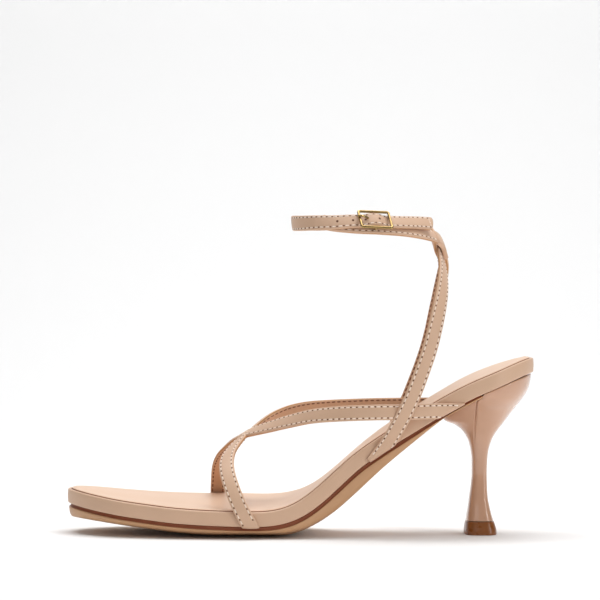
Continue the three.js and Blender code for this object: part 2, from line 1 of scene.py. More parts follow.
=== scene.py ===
"""A left strappy sandal on a spool heel, dressed over its CAD frame.

Shapes are worked out in millimetres in the frame's axes (toe to -X, outer side to -Y, up +Z)
and become metres when a piece is made.
"""

import bmesh
import bpy
import numpy as np
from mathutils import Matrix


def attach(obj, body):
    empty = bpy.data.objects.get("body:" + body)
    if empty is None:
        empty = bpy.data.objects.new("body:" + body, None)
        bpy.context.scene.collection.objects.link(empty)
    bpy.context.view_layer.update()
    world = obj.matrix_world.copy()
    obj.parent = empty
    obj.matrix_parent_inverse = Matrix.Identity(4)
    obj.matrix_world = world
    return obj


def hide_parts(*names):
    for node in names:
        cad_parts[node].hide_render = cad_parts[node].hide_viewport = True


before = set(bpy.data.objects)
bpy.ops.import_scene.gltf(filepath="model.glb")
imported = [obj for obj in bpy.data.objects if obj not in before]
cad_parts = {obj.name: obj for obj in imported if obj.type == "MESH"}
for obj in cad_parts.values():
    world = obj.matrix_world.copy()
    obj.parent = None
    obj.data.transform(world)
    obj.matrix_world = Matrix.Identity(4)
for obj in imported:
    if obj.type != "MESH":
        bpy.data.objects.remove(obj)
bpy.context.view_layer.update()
scene = bpy.context.scene
scene.view_settings.view_transform = "Standard"

# Camera
# A long lens at the height of the footbed's waist looks level at the shoe's outer side.
view = bpy.data.cameras.new("camera")
view.sensor_width = 36
view.lens = 117.2
view.shift_y = 0.1
view.clip_end = 30
camera = bpy.data.objects.new("camera", view)
camera.location = (-0.083, -0.9, 0.08)
camera.rotation_euler = (np.pi / 2, 0, 0)
scene.collection.objects.link(camera)
scene.camera = camera


# Floor and light
# A sheet of matt white paper runs under the shoe and curves up behind it, as in a product studio.
# A wide softbox hangs overhead, with a weaker one in front, a strip to the right and a wash on the backdrop.
def linear(colour):
    """sRGB hex to linear RGBA: a straight part up to 0.04045, above it the power 2.4."""
    rgb = np.array([int(colour[i:i + 2], 16) for i in (0, 2, 4)]) / 255
    flat = np.where(rgb <= 0.04045, rgb / 12.92, ((rgb + 0.055) / 1.055) ** 2.4)
    return (*flat.tolist(), 1.0)


def node(tree, kind, settings=(), inputs=(), links=()):
    """One shader node of this kind, with its settings, its sockets' values and its links."""
    made = tree.nodes.new("ShaderNode" + kind)
    for name, value in dict(settings).items():
        setattr(made, name, value)
    for name, value in dict(inputs).items():
        made.inputs[name].default_value = value
    for name, socket in dict(links).items():
        tree.links.new(socket, made.inputs[name])
    return made


def blank_material(name):
    """A material and its empty tree."""
    made = bpy.data.materials.new(name)
    made.use_nodes = True
    made.node_tree.nodes.clear()
    return made, made.node_tree


def two_tone(name, tones, spots, skin, relief=None, gloss=None):
    """A material whose noise mixes two colours, and its tree, coordinates and shader to add to.

    relief is a texture's kind and settings with its bump's strength and depth; gloss is the range of
    roughness that the noise is spread over.
    """
    made, tree = blank_material(name)
    place = node(tree, "TexCoord").outputs["Object"]
    noise = node(tree, "TexNoise", inputs=spots, links={"Vector": place}).outputs["Fac"]
    low, high = [linear(tone) for tone in tones]
    mixed = node(tree, "Mix", {"data_type": "RGBA"}, {"A": low, "B": high}, {"Factor": noise})
    shader = node(tree, "BsdfPrincipled", inputs=skin, links={"Base Color": mixed.outputs["Result"]})
    if relief:
        kind, settings, strength, depth = relief
        height = node(tree, kind, inputs=settings, links={"Vector": place}).outputs[0]
        bump = node(tree, "Bump", inputs={"Strength": strength, "Distance": depth}, links={"Height": height})
        tree.links.new(bump.outputs["Normal"], shader.inputs["Normal"])
    if gloss:
        spread = node(tree, "MapRange", inputs=dict(zip(("To Min", "To Max"), gloss)), links={"Value": noise})
        tree.links.new(spread.outputs["Result"], shader.inputs["Roughness"])
    node(tree, "OutputMaterial", links={"Surface": shader.outputs["BSDF"]})
    return made, tree, place, shader


def as_points(*axes):
    """Arrays set side by side as coordinates, each spread to the others' shape."""
    return np.stack(np.broadcast_arrays(*axes), axis=-1)


def grid(points, closed=True):
    """Points and quads of a grid (rows, columns, 3); closed joins the last column to the first."""
    rows, columns = points.shape[:2]
    index = np.arange(rows * columns).reshape(rows, columns)
    left = index if closed else index[:, :-1]
    right = np.roll(index, -1, axis=1) if closed else index[:, 1:]
    quads = np.stack([left[:-1], right[:-1], right[1:], left[1:]], axis=-1)
    return points.reshape(-1, 3), quads.reshape(-1, 4)


def piece(name, points, quads, materials, choice=None, closed=True):
    """An object from points in millimetres and quads: doubles merged, faces outwards if it is closed."""
    shape = bpy.data.meshes.new(name)
    shape.from_pydata((points * 0.001).tolist(), [], quads.tolist())
    for one in materials:
        shape.materials.append(one)
    if choice is not None:
        shape.polygons.foreach_set("material_index", choice)
    build = bmesh.new()
    build.from_mesh(shape)
    bmesh.ops.remove_doubles(build, verts=build.verts, dist=2e-6)
    if closed:
        bmesh.ops.recalc_face_normals(build, faces=build.faces)
    build.to_mesh(shape)
    build.free()
    shape.polygons.foreach_set("use_smooth", [True] * len(shape.polygons))
    made = bpy.data.objects.new(name, shape)
    scene.collection.objects.link(made)
    return made


# Uncoated paper: white and quite matt.
paper, tree = blank_material("matt_white_paper")
shader = node(tree, "BsdfPrincipled", inputs={"Base Color": linear("F4F4F4"), "Roughness": 0.9})
node(tree, "OutputMaterial", links={"Surface": shader.outputs["BSDF"]})

bend = np.linspace(0, np.pi / 2, 24)
sweep_y = np.concatenate([[-2500, 1100], 1100 + 500 * np.sin(bend), [1600]])
sweep_z = np.concatenate([[0, 0], 500 * (1 - np.cos(bend)), [2600]])
sheet_x = np.array([-3000.0, 3000.0])
paper_points = as_points(sheet_x[None, :], sweep_y[:, None], sweep_z[:, None])
floor = piece("floor", *grid(paper_points, closed=False), [paper], closed=False)

# The sky is weak, and weaker still in reflections, as if dark flats stood round the set.
world = bpy.data.worlds.new("studio")
world.use_nodes = True
tree = world.node_tree
tree.nodes["Background"].inputs["Color"].default_value = (1, 1, 1, 1)
in_reflections = node(tree, "LightPath").outputs["Is Glossy Ray"]
strength = node(tree, "MapRange", inputs={"To Min": 0.2, "To Max": 0.05}, links={"Value": in_reflections})
tree.links.new(strength.outputs["Result"], tree.nodes["Background"].inputs["Strength"])
scene.world = world


def softbox(name, place, size, power, aim=(-0.08, 0, 0.06)):
    """A rectangular area light at a place, turned to look at the aim."""
    lamp = bpy.data.lights.new(name, "AREA")
    lamp.shape = "RECTANGLE"
    lamp.size, lamp.size_y = size
    lamp.energy = power
    made = bpy.data.objects.new(name, lamp)
    made.location = place
    away = made.location - type(made.location)(aim)
    made.rotation_euler = away.to_track_quat("Z", "Y").to_euler()
    scene.collection.objects.link(made)


softbox("overhead", (-0.1, 0.05, 1.3), (1.2, 1.2), 11)
softbox("front", (-0.4, -1.6, 0.9), (0.9, 0.7), 1.9)
softbox("right_strip", (0.9, -0.85, 0.45), (0.1, 1.1), 5)
softbox("backdrop_wash", (0, 0.5, 2.0), (2.5, 0.8), 26, aim=(0, 1.5, 0.4))

# Footbed
# A fibre board on the last's plan, wrapped in thin soft-grained leather that is drawn over its rounded edge
# and glued under it. A seat for the insole pad is sunk into its top, inside a narrow rim.
foot_length = 216.5
heel_back = 25.0
ball_width = 76.9
seat_height = 82.0
bed_thickness = 6.6
rim_width = 1.5
pad_recess = 1.6
top_round = 0.95
low_round = 0.7
side_bulge = 0.12

# along, lateral edge, medial edge, lateral top, medial top: shares of the foot's length, the ball's width
# and the seat's height
last = np.array([
    (0.0, 0.071, 0.071, 0.995, 0.996),
    (0.004, -0.041, 0.17, 0.993, 0.995),
    (0.014, -0.134, 0.235, 0.986, 0.989),
    (0.032, -0.221, 0.292, 0.972, 0.978),
    (0.06, -0.299, 0.334, 0.943, 0.955),
    (0.097, -0.347, 0.352, 0.901, 0.921),
    (0.143, -0.345, 0.34, 0.85, 0.868),
    (0.198, -0.33, 0.303, 0.775, 0.786),
    (0.263, -0.318, 0.267, 0.671, 0.684),
    (0.328, -0.313, 0.244, 0.565, 0.571),
    (0.383, -0.317, 0.257, 0.466, 0.452),
    (0.43, -0.332, 0.311, 0.358, 0.34),
    (0.467, -0.352, 0.381, 0.27, 0.262),
    (0.503, -0.373, 0.449, 0.201, 0.216),
    (0.54, -0.385, 0.513, 0.16, 0.193),
    (0.582, -0.391, 0.564, 0.147, 0.185),
    (0.633, -0.394, 0.596, 0.149, 0.186),
    (0.688, -0.389, 0.606, 0.154, 0.186),
    (0.753, -0.368, 0.593, 0.164, 0.189),
    (0.818, -0.322, 0.559, 0.182, 0.199),
    (0.873, -0.276, 0.532, 0.2, 0.211),
    (0.919, -0.199, 0.485, 0.218, 0.225),
    (0.956, -0.107, 0.419, 0.234, 0.238),
    (0.984, 0.003, 0.33, 0.246, 0.247),
    (0.996, 0.088, 0.255, 0.251, 0.251),
    (1.0, 0.174, 0.174, 0.252, 0.252),
])


def reading(rows, column, at):
    """A smooth curve through one column by the first: cubic spans, slopes as harmonic means of the rises."""
    x, y = rows[:, 0], rows[:, column]
    width = np.diff(x)
    rise = np.diff(y) / width
    product = rise[:-1] * rise[1:]
    total = rise[:-1] + rise[1:]
    inner = np.where(product > 0, 2 * product / np.where(product > 0, total, 1), 0)
    slope = np.concatenate([rise[:1], inner, rise[-1:]])
    v = np.clip(at, x[0], x[-1])
    i = np.clip(np.searchsorted(x, v, side="right") - 1, 0, len(x) - 2)
    t = (v - x[i]) / width[i]
    flat = y[i] + t * t * (3 - 2 * t) * (y[i + 1] - y[i])
    return flat + width[i] * t * (1 - t) * ((1 - t) * slope[i] - t * slope[i + 1])


def softened(values, spread, mode):
    """Values, or columns of them, averaged with a bell curve whose spread is in samples."""
    reach = int(4 * spread) + 1
    bell = np.exp(-0.5 * (np.arange(-reach, reach + 1) / spread) ** 2)
    wider = np.pad(values, [(reach, reach)] + [(0, 0)] * (values.ndim - 1), mode=mode)
    return np.apply_along_axis(np.convolve, 0, wider, bell / bell.sum(), mode="valid")


def travelled(line):
    """The distance gone along a line of points, at each of them."""
    return np.concatenate([[0], np.cumsum(np.linalg.norm(np.diff(line, axis=0), axis=1))])


def columns_at(wanted, known, columns):
    """Columns of values known at some distances, read at the wanted ones."""
    return as_points(*[np.interp(wanted, known, column) for column in columns.T])


length_x = np.linspace(heel_back - foot_length - 3, heel_back + 3, 900)
length_along = (heel_back - length_x) / foot_length
lateral_edge, medial_edge = [reading(last, k, length_along) * ball_width for k in (1, 2)]
lateral_top, medial_top = [
    softened(reading(last, k, length_along) * seat_height, 12, "edge") for k in (3, 4)
]


def across(x, y):
    """The share of the way over the board, 0 at its lateral edge and 1 at its medial edge."""
    start = np.interp(x, length_x, lateral_edge)
    end = np.interp(x, length_x, medial_edge)
    return np.where(end - start < 1, 0.5, np.clip((y - start) / np.maximum(end - start, 1), 0, 1))


def bed_top(x, y):
    """The board's top: the heights of its two edges, mixed by the share across."""
    u = across(x, y)
    return np.interp(x, length_x, lateral_top) * (1 - u) + np.interp(x, length_x, medial_top) * u


def bed_bottom(x, y):
    """The board's underside: its thickness below the top, square to the slope along the shoe."""
    slope = (bed_top(x + 2, y) - bed_top(x - 2, y)) / 4
    return bed_top(x, y) - bed_thickness * np.sqrt(1 + slope * slope)


def closed_line(corners, count, spread):
    """A closed line through corners at even steps, rounded by a bell curve of that spread in millimetres."""
    loop = np.vstack([corners, corners[:1]])
    gone = travelled(loop)
    even = np.arange(count) * gone[-1] / count
    return softened(columns_at(even, gone, loop), spread * count / gone[-1], "wrap")


def moved_in(line, distance):
    """A closed line moved inwards by a distance, or by one for each point, square to its own run."""
    run = np.roll(line, -1, axis=0) - np.roll(line, 1, axis=0)
    run /= np.linalg.norm(run, axis=1, keepdims=True)
    return line + as_points(run[:, 1], -run[:, 0]) * np.reshape(distance, (-1, 1))


turn = np.linspace(0, np.pi, 900)
plan_x = heel_back - foot_length / 2 * (1 - np.cos(turn))
plan_along = (heel_back - plan_x) / foot_length
plan_lateral, plan_medial = [as_points(plan_x, reading(last, k, plan_along) * ball_width) for k in (1, 2)]
plan = closed_line(np.vstack([plan_lateral, plan_medial[-2:0:-1]]), 760, 2.0)


def spine_of(line, end_margin=14.0):
    """For each point of a closed line, its partner on the line along the middle of the shoe."""
    x = np.clip(line[:, 0], line[:, 0].min() + end_margin, line[:, 0].max() - end_margin)
    middle = (np.interp(x, length_x, lateral_edge) + np.interp(x, length_x, medial_edge)) / 2
    return as_points(x, middle)


def at_height(flat, height, drops=0.0):
    """Flat rings lifted to a height function, less a drop for each ring."""
    x, y = flat[..., 0], flat[..., 1]
    return as_points(x, y, height(x, y) - np.reshape(drops, (-1, 1)))


def rings_inward(line, shares, height):
    """Rings from a closed line to the middle of the shoe by the given shares, lifted to a height function."""
    shares = np.reshape(shares, (-1, 1, 1))
    return at_height(line * (1 - shares) + spine_of(line) * shares, height)


def profile_rings(line, insets, height, drops=0.0):
    """Rings that follow a closed line: each moved in by its inset and set below a height by its drop."""
    return at_height(np.stack([moved_in(line, inset) for inset in insets]), height, drops)


def painted(rings, painted_rows):
    """Each quad's material: 1 in the first rows between the rings, 0 in the others."""
    return np.repeat((np.arange(len(rings) - 1) < painted_rows).astype(np.int32), rings.shape[1])


corner = np.linspace(0, np.pi / 2, 7)
seat_insets = rim_width + np.array([0.05, 0.0, -0.08, -0.3])
seat_drops = [pad_recess, 0.5, 0.16, 0.02]
rim = profile_rings(
    plan, np.concatenate([seat_insets, top_round * (1 - np.sin(corner))]),
    bed_top, np.concatenate([seat_drops, top_round * (1 - np.cos(corner))]),
)
seat_line = moved_in(plan, seat_insets[0])
seat = rings_inward(seat_line, [1.0, 0.5], lambda x, y: bed_top(x, y) - pad_recess)
side_share = np.linspace(0, 1, 8)[1:-1, None, None]
bulges = side_bulge * np.sin(np.pi * side_share.ravel())
lower_edge = profile_rings(plan, [0.0], bed_bottom, [-low_round])[0]
side = rim[-1] * (1 - side_share) + lower_edge * side_share
side[..., :2] = np.stack([moved_in(plan, -bulge) for bulge in bulges])
under_insets, under_drops = low_round * (1 - np.cos(corner)), -low_round * (1 - np.sin(corner))
under_edge = profile_rings(plan, under_insets, bed_bottom, under_drops)
under_bed = rings_inward(moved_in(plan, low_round), [0.4, 1.0], bed_bottom)
footbed_rings = np.concatenate([seat, rim, side, under_edge, under_bed])

# Nappa is drum-dyed and barely finished: an even warm tone with a soft sheen. Its pores are about 0.3 mm,
# drawn at 0.7 mm so that they show, over slow tone drift from the hide.
strap_leather, tree, place, shader = two_tone(
    "drummed_nappa_leather", ("CEA98C", "D8B498"), {"Scale": 45, "Detail": 3},
    {"IOR": 1.47, "Sheen Weight": 0.08},
)
pores = node(tree, "TexVoronoi", inputs={"Scale": 1400}, links={"Vector": place}).outputs["Distance"]
fibres = node(
    tree, "TexNoise", inputs={"Scale": 900, "Detail": 4, "Roughness": 0.6}, links={"Vector": place},
).outputs["Fac"]
grain = node(tree, "Math", {"operation": "ADD"}, links={0: pores, 1: fibres})
relief = node(
    tree, "Bump", inputs={"Strength": 0.35, "Distance": 0.00008}, links={"Height": grain.outputs["Value"]},
)
gloss = node(tree, "MapRange", inputs={"To Min": 0.42, "To Max": 0.58}, links={"Value": fibres})
tree.links.new(gloss.outputs["Result"], shader.inputs["Roughness"])
tree.links.new(relief.outputs["Normal"], shader.inputs["Normal"])

footbed = piece("footbed_wrap", *grid(footbed_rings), [strap_leather])
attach(footbed, "root")
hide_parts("footbed")

# Insole pad
# Thin foam under a smooth lining skin, cut to sit inside the rim and crowned along the middle where the foot
# rests. Its turned-down edge is coloured dark red-brown as painted shade, for the shadowed groove between the
# pad and the rim.
pad_dome = 1.1
pad_depth = 1.3
pad_shoulder = 1.3
pad_edge_rise = 0.72
# painted_pad_rows: the rows of the pad's edge in the edge-paint material, as painted shade for the groove
painted_pad_rows = 6
clear = 0.3


def pad_top(x, y):
    """The pad's crown over the board's top: its rise is the 1.5 power of 4 u (1 - u), u the share across."""
    u = across(x, y)
    return bed_top(x, y) + pad_dome * (4 * u * (1 - u)) ** 1.5


pad_line = moved_in(plan, rim_width + clear + 0.15)
pad_edge = profile_rings(
    pad_line, [0.1, 0.0, 0.0, 0.0, 0.0, 0.04, 0.16, 0.36, 0.7, pad_shoulder],
    bed_top, [pad_depth, 1.2, 0.75, 0.1, -0.22, -0.36, -0.5, -0.6, -0.67, -pad_edge_rise],
)
pad_crown = rings_inward(
    moved_in(pad_line, pad_shoulder), np.linspace(0.04, 1, 26) ** 1.2,
    lambda x, y: np.maximum(pad_top(x, y), bed_top(x, y) + pad_edge_rise),
)
pad_under = rings_inward(moved_in(pad_line, 0.1), [1.0, 0.5], lambda x, y: bed_top(x, y) - pad_depth)
pad_rings = np.concatenate([pad_under, pad_edge, pad_crown])

# Lining leather is ironed smooth: finer pores than the straps', a little pinker, with a low satin shine.
insole_leather = two_tone(
    "glazed_lining_leather", ("DAB597", "E2BFA3"), {"Scale": 30, "Detail": 3},
    {"IOR": 1.47, "Roughness": 0.42, "Sheen Weight": 0.05},
    relief=("TexVoronoi", {"Scale": 1800}, 0.2, 0.00006),
)[0]

# Edge paint is a thin flexible coat of pigment, brushed on: deep red-brown and half matt. On the outsole's
# ledge and raised middle its tones are darkened as painted shade for the gap under the footbed; on the pad's
# turned-down edge the whole band is painted shade for the groove by the rim.
edge_paint_and_painted_shade = two_tone(
    "edge_paint_and_painted_shade", ("804429", "9C5C3F"), {"Scale": 160, "Detail": 3}, {"IOR": 1.48, "Roughness": 0.5},
)[0]

pad_choice = painted(pad_rings, painted_pad_rows)
pad = piece("insole_cushion", *grid(pad_rings), [insole_leather, edge_paint_and_painted_shade], pad_choice)
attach(pad, "root")
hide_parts("insole_pad")

# Outsole
# A moulded rubber unit, tan right through. Its rounded side stops at a ledge below the footbed, and the ledge
# and the raised middle behind it are painted red-brown, in tones darkened as painted shade for the gap under
# the footbed, which with the gap's own shadow makes the dark line round the shoe.
sole_inset = 0.5
reveal = 1.2
painted_inset = 1.1
side_round = 1.6
sole_end = -1.0
sole_edge = 0.8
turn_up_reach = 0.36

# along, tread, lateral lift, medial lift: shares of the seat's height; narrow: share of the ball's width
under = np.array([
    (0.11, 0.795, 0.0, 0.0, 0.03),
    (0.143, 0.76, 0.004, 0.004, 0.026),
    (0.198, 0.655, 0.008, 0.008, 0.018),
    (0.263, 0.515, 0.014, 0.014, 0.012),
    (0.328, 0.37, 0.018, 0.018, 0.008),
    (0.383, 0.234, 0.02, 0.02, 0.006),
    (0.43, 0.126, 0.024, 0.026, 0.004),
    (0.467, 0.062, 0.028, 0.036, 0.0),
    (0.503, 0.019, 0.034, 0.052, 0.0),
    (0.54, 0.0, 0.038, 0.062, 0.0),
    (0.68, 0.0, 0.038, 0.064, 0.0),
    (0.753, 0.012, 0.036, 0.056, 0.0),
    (0.818, 0.032, 0.032, 0.044, 0.0),
    (0.873, 0.051, 0.028, 0.034, 0.0),
    (0.919, 0.067, 0.024, 0.026, 0.0),
    (0.956, 0.079, 0.02, 0.02, 0.0),
    (1.0, 0.092, 0.018, 0.018, 0.0),
])
# along: share of the foot's length; drop: millimetres from the footbed down to the ledge
openings = np.array([(0.12, 1.0), (0.2, 1.45), (0.3, 2.15), (0.42, 2.25), (0.6, 1.8), (1.0, 1.6)])
tread_line, lateral_lift, medial_lift = [
    softened(reading(under, k, length_along) * seat_height, 8, "edge") for k in (1, 2, 3)
]
narrowing = reading(under, 4, length_along) * ball_width


def sole_bottom(x, y):
    """The tread's height, lifted towards each edge by a parabola, with room over it for edge and reveal."""
    height = np.interp(x, length_x, tread_line)
    for share, lift in ((across(x, y), lateral_lift), (1 - across(x, y), medial_lift)):
        height = height + np.interp(x, length_x, lift) * np.maximum(0, 1 - share / turn_up_reach) ** 2
    return np.minimum(height, bed_bottom(x, y) - reveal - sole_edge)


def ledge_top(x, y):
    """The ledge lies below the footbed by the reveal: shallow under the heel, opening out along the waist."""
    return bed_bottom(x, y) - np.interp((heel_back - x) / foot_length, *openings.T)


ahead = plan[:, 0] <= sole_end + 1.2
front = np.roll(plan, -np.argmax(ahead), axis=0)[:np.sum(ahead)]
pulled = np.interp(front[:, 0], length_x, narrowing)
front[:, 1] -= np.sign(front[:, 1] - spine_of(front)[:, 1]) * pulled
sole_line = moved_in(closed_line(front, 700, 1.2), sole_inset)

core_rings = rings_inward(
    moved_in(sole_line, painted_inset), [1.0, 0.6, 0.2, 0.0], lambda x, y: bed_bottom(x, y) - 0.1,
)
ledge_rings = profile_rings(
    sole_line, [painted_inset, painted_inset, 0.85, 0.6, 0.45], ledge_top, [-1.0, -0.85, -0.65, -0.2, 0.0],
)
lip = np.linspace(0, np.pi / 2, 5)
lip_rings = profile_rings(sole_line, 0.35 * (1 - np.sin(lip)), ledge_top, 0.02 + 0.3 * (1 - np.cos(lip)))
round_insets = np.array([0.0, 0.05, 0.2, 0.5, 0.95, side_round, 2.5, 3.8, 5.6, 8.0])
round_rings = profile_rings(sole_line, round_insets, sole_bottom)
edge_top = ledge_top(sole_line[:, 0], sole_line[:, 1]) - 0.32
belly = np.sqrt(1 - (1 - np.minimum(round_insets / side_round, 1)) ** 2)[:, None]
round_rings[..., 2] = np.minimum(edge_top - (edge_top - round_rings[..., 2]) * belly, edge_top)
tread_rings = rings_inward(moved_in(sole_line, round_insets[-1]), [0.3, 0.6, 1.0], sole_bottom)
sole_rings = np.concatenate([core_rings, ledge_rings, lip_rings, round_rings, tread_rings])

# Moulded thermoplastic rubber: an even tan with a dull satin skin and the faint orange peel of its mould.
sole_rubber = two_tone(
    "moulded_rubber", ("BE9068", "C99C73"), {"Scale": 25, "Detail": 2}, {"IOR": 1.5, "Roughness": 0.45},
    relief=("TexNoise", {"Scale": 500, "Detail": 3}, 0.25, 0.0001),
)[0]

# The core and the ledge take the edge paint, darkened as painted shade for the gap.
sole_choice = painted(sole_rings, len(core_rings) + len(ledge_rings) - 1)
outsole = piece("outsole_unit", *grid(sole_rings), [sole_rubber, edge_paint_and_painted_shade], sole_choice)
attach(outsole, "root")
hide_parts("outsole")

# Heel
# An ABS spool heel, covered in patent-finished leather that is pulled tight round it. The cover's front
# edges show as a crease down each side, and the breast in front of them runs out as a lip under the sole.
heel_height = 84.0
heel_width = 48.2
heel_depth = 42.0
lift_height = 6.0
crease_x = -3.2
crease_width = 0.35
crease_depth = 0.085
crease_starts = (37, 50)
breast_narrowing = 0.36

# up: share of the heel's height; lip and back: shares of its depth; lateral and medial: shares of its width;
# square: 2 is an ellipse, more is boxier
heel_sections = np.array([
    (0.075, -0.16, 0.14, -0.172, 0.187, 3.2),
    (0.12, -0.147, 0.114, -0.156, 0.162, 3.2),
    (0.155, -0.136, 0.098, -0.143, 0.145, 3.2),
    (0.2, -0.124, 0.081, -0.129, 0.127, 3.2),
    (0.26, -0.107, 0.074, -0.114, 0.116, 3.2),
    (0.333, -0.095, 0.071, -0.104, 0.114, 3.2),
    (0.405, -0.095, 0.076, -0.104, 0.114, 3.2),
    (0.452, -0.105, 0.086, -0.112, 0.118, 3.1),
    (0.5, -0.124, 0.112, -0.122, 0.131, 3.0),
    (0.536, -0.155, 0.143, -0.141, 0.145, 2.9),
    (0.571, -0.205, 0.19, -0.172, 0.172, 2.8),
    (0.6, -0.285, 0.236, -0.207, 0.205, 2.7),
    (0.62, -0.385, 0.266, -0.232, 0.229, 2.6),
    (0.65, -0.425, 0.31, -0.278, 0.268, 2.5),
    (0.68, -0.43, 0.357, -0.328, 0.315, 2.4),
    (0.714, -0.43, 0.412, -0.404, 0.386, 2.3),
    (0.75, -0.43, 0.467, -0.458, 0.446, 2.3),
    (0.786, -0.43, 0.51, -0.471, 0.481, 2.3),
    (0.821, -0.43, 0.535, -0.474, 0.5, 2.3),
    (0.87, -0.43, 0.55, -0.474, 0.502, 2.3),
    (0.93, -0.43, 0.555, -0.474, 0.502, 2.3),
])


def smooth_step(v, low, high):
    """From 0 at low to 1 at high along the cubic 3t^2 - 2t^3."""
    t = np.clip((v - low) / (high - low), 0, 1)
    return t * t * (3 - 2 * t)


def level_ring(angle, lip_reach, back_reach, lateral_reach, medial_reach, square):
    """Superellipse by polar angle: radius is the -1/n power of |cos/reach|^n + |sin/reach|^n."""
    reach_x = np.where(np.cos(angle) > 0, back_reach, -lip_reach)
    reach_y = np.where(np.sin(angle) > 0, medial_reach, -lateral_reach)
    sum_of_powers = np.abs(np.cos(angle) / reach_x) ** square + np.abs(np.sin(angle) / reach_y) ** square
    radius = sum_of_powers ** (-1 / square)
    return radius * np.cos(angle), radius * np.sin(angle)


def reaches(sections, share_up):
    """How far the lip, the back and the two sides reach out at shares of the height, in millimetres."""
    sizes = (heel_depth, heel_depth, heel_width, heel_width)
    return [reading(sections, k, share_up) * size for k, size in enumerate(sizes, 1)]


level = np.linspace(lift_height + clear, 0.93 * heel_height, 150)[:, None]
share_up = level / heel_height
lip_reach, back_reach, lateral_reach, medial_reach = reaches(heel_sections, share_up)
square = reading(heel_sections, 5, share_up)

quarter = np.linspace(0, np.pi / 2, 34)
closing = 1 - (1 - np.linspace(0, 1, 14)) ** 2
opening_out = np.linspace(0, 1, 40) ** 2
half_turns = []
for reach in (medial_reach, -lateral_reach):
    at_crease = np.arctan2(reach, np.full_like(level, crease_x))
    half_turns.append(np.concatenate([
        np.broadcast_to(quarter, (len(level), len(quarter))),
        np.pi / 2 + (at_crease - np.pi / 2) * closing[1:],
        at_crease + (np.pi - at_crease) * opening_out[1:],
    ], axis=1))
heel_angle = np.concatenate([half_turns[0], -half_turns[1][:, -2:0:-1]], axis=1)
heel_x, heel_y = level_ring(heel_angle, lip_reach, back_reach, lateral_reach, medial_reach, square)
beyond = np.clip((crease_x - heel_x) / np.maximum(crease_x - lip_reach, 1), 0, 1)
groove = np.exp(-((heel_x - crease_x) / crease_width) ** 2)
crease_shows = smooth_step(level, *crease_starts)
heel_y = heel_y * (1 - crease_shows * (breast_narrowing * beyond + crease_depth * groove))


def heel_seat(x, y):
    """Where the heel stops: just under the footbed, or under the outsole ahead of its back end."""
    board = bed_bottom(x, y) - 0.5
    return np.where(x < sole_end + 0.3, np.minimum(board, sole_bottom(x, y) - 0.15), board)


heel_grid = as_points(heel_x, heel_y, level)
over = heel_grid[..., 2] - heel_seat(heel_x, heel_y)
last_under = np.maximum(np.argmax(over > 0, axis=0) - 1, 0)
column = np.arange(heel_x.shape[1])
below_gap = over[last_under, column]
stop = last_under + below_gap / (below_gap - over[last_under + 1, column])
row = np.linspace(0, 1, 110)[:, None] * stop[None, :]
low_row = np.minimum(row.astype(int), len(level) - 2)
part_up = (row - low_row)[..., None]
heel_wall = heel_grid[low_row, column] * (1 - part_up) + heel_grid[low_row + 1, column] * part_up
heel_middle = np.array([2.0, 0.0])
top_shares = np.array([0.15, 0.4, 0.7, 1.0])[:, None, None]
top_flat = heel_wall[-1:, :, :2] * (1 - top_shares) + heel_middle * top_shares
heel_top = at_height(top_flat, heel_seat, 0.1)
foot_shares = np.array([1.0, 0.1])[:, None, None]
heel_foot = heel_wall[:1] * (1 - foot_shares) + heel_wall[:1].mean(axis=1, keepdims=True) * foot_shares
heel_rings = np.concatenate([heel_foot, heel_wall, heel_top])

# Patent finish is leather under a clear lacquer: the same tone as the straps, with sharp narrow highlights.
heel_cover = two_tone(
    "patent_finished_leather", ("C6987A", "CEA184"), {"Scale": 35, "Detail": 3},
    {"IOR": 1.5, "Roughness": 0.35, "Coat Weight": 1.0, "Coat Roughness": 0.06},
    relief=("TexNoise", {"Scale": 260, "Detail": 2}, 0.12, 0.0001),
)[0]

heel = piece("covered_heel", *grid(heel_rings), [heel_cover])
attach(heel, "root")
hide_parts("heel")

# Top lift
# A wear piece of hard polyurethane, moulded with a slight flare and pinned under the heel.

# up: share of the lift's height; lip and back: shares of the heel's depth; lateral and medial: of its width
lift_sections = np.array([
    (0.0, -0.168, 0.168, -0.207, 0.207),
    (0.05, -0.172, 0.172, -0.211, 0.211),
    (0.12, -0.175, 0.174, -0.212, 0.213),
    (0.95, -0.163, 0.147, -0.177, 0.192),
    (1.0, -0.158, 0.142, -0.172, 0.187),
])
lift_square = 3.4
lift_up = np.concatenate([[0.0, 0.02, 0.05], np.linspace(0.12, 0.95, 12), [0.985, 1.0]])[:, None]
lift_angle = np.linspace(0, 2 * np.pi, 128, endpoint=False)[None, :]
lift_x, lift_y = level_ring(lift_angle, *reaches(lift_sections, lift_up), lift_square)
lift_wall = as_points(lift_x, lift_y, lift_up * lift_height)
lift_rings = np.concatenate([lift_wall[:1] * [0, 0, 1], lift_wall, lift_wall[-1:] * [0, 0, 1]])

# Hard polyurethane from a polished mould: deep amber brown and glossy, scuffed a little at the floor.
lift_plastic = two_tone(
    "moulded_polyurethane", ("7E4A22", "94592C"), {"Scale": 300, "Detail": 5}, {"IOR": 1.52},
    gloss=(0.18, 0.4),
)[0]

lift = piece("heel_tip", *grid(lift_rings), [lift_plastic])
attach(lift, "root")
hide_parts("top_lift")

# Upper: the straps
# Four straps of 7 mm, each a skin of nappa on a lining with the raw edge between them, stitched along both
# edges. Their ends are thinned, drawn over the footbed's side and glued under it. Where two cross, one passes
# over the other.
strap_width = 7.0
strap_thickness = 1.6
strap_dome = 0.25
ankle_height = 147.0
stitch_pitch = 2.7
stitch_line = 2.5
stitch_start = 4.0
end_round = 1.3
thinned_to = 0.6
lasted_round = 0.6
roll_length = 1.1
tucked_under = 1.6

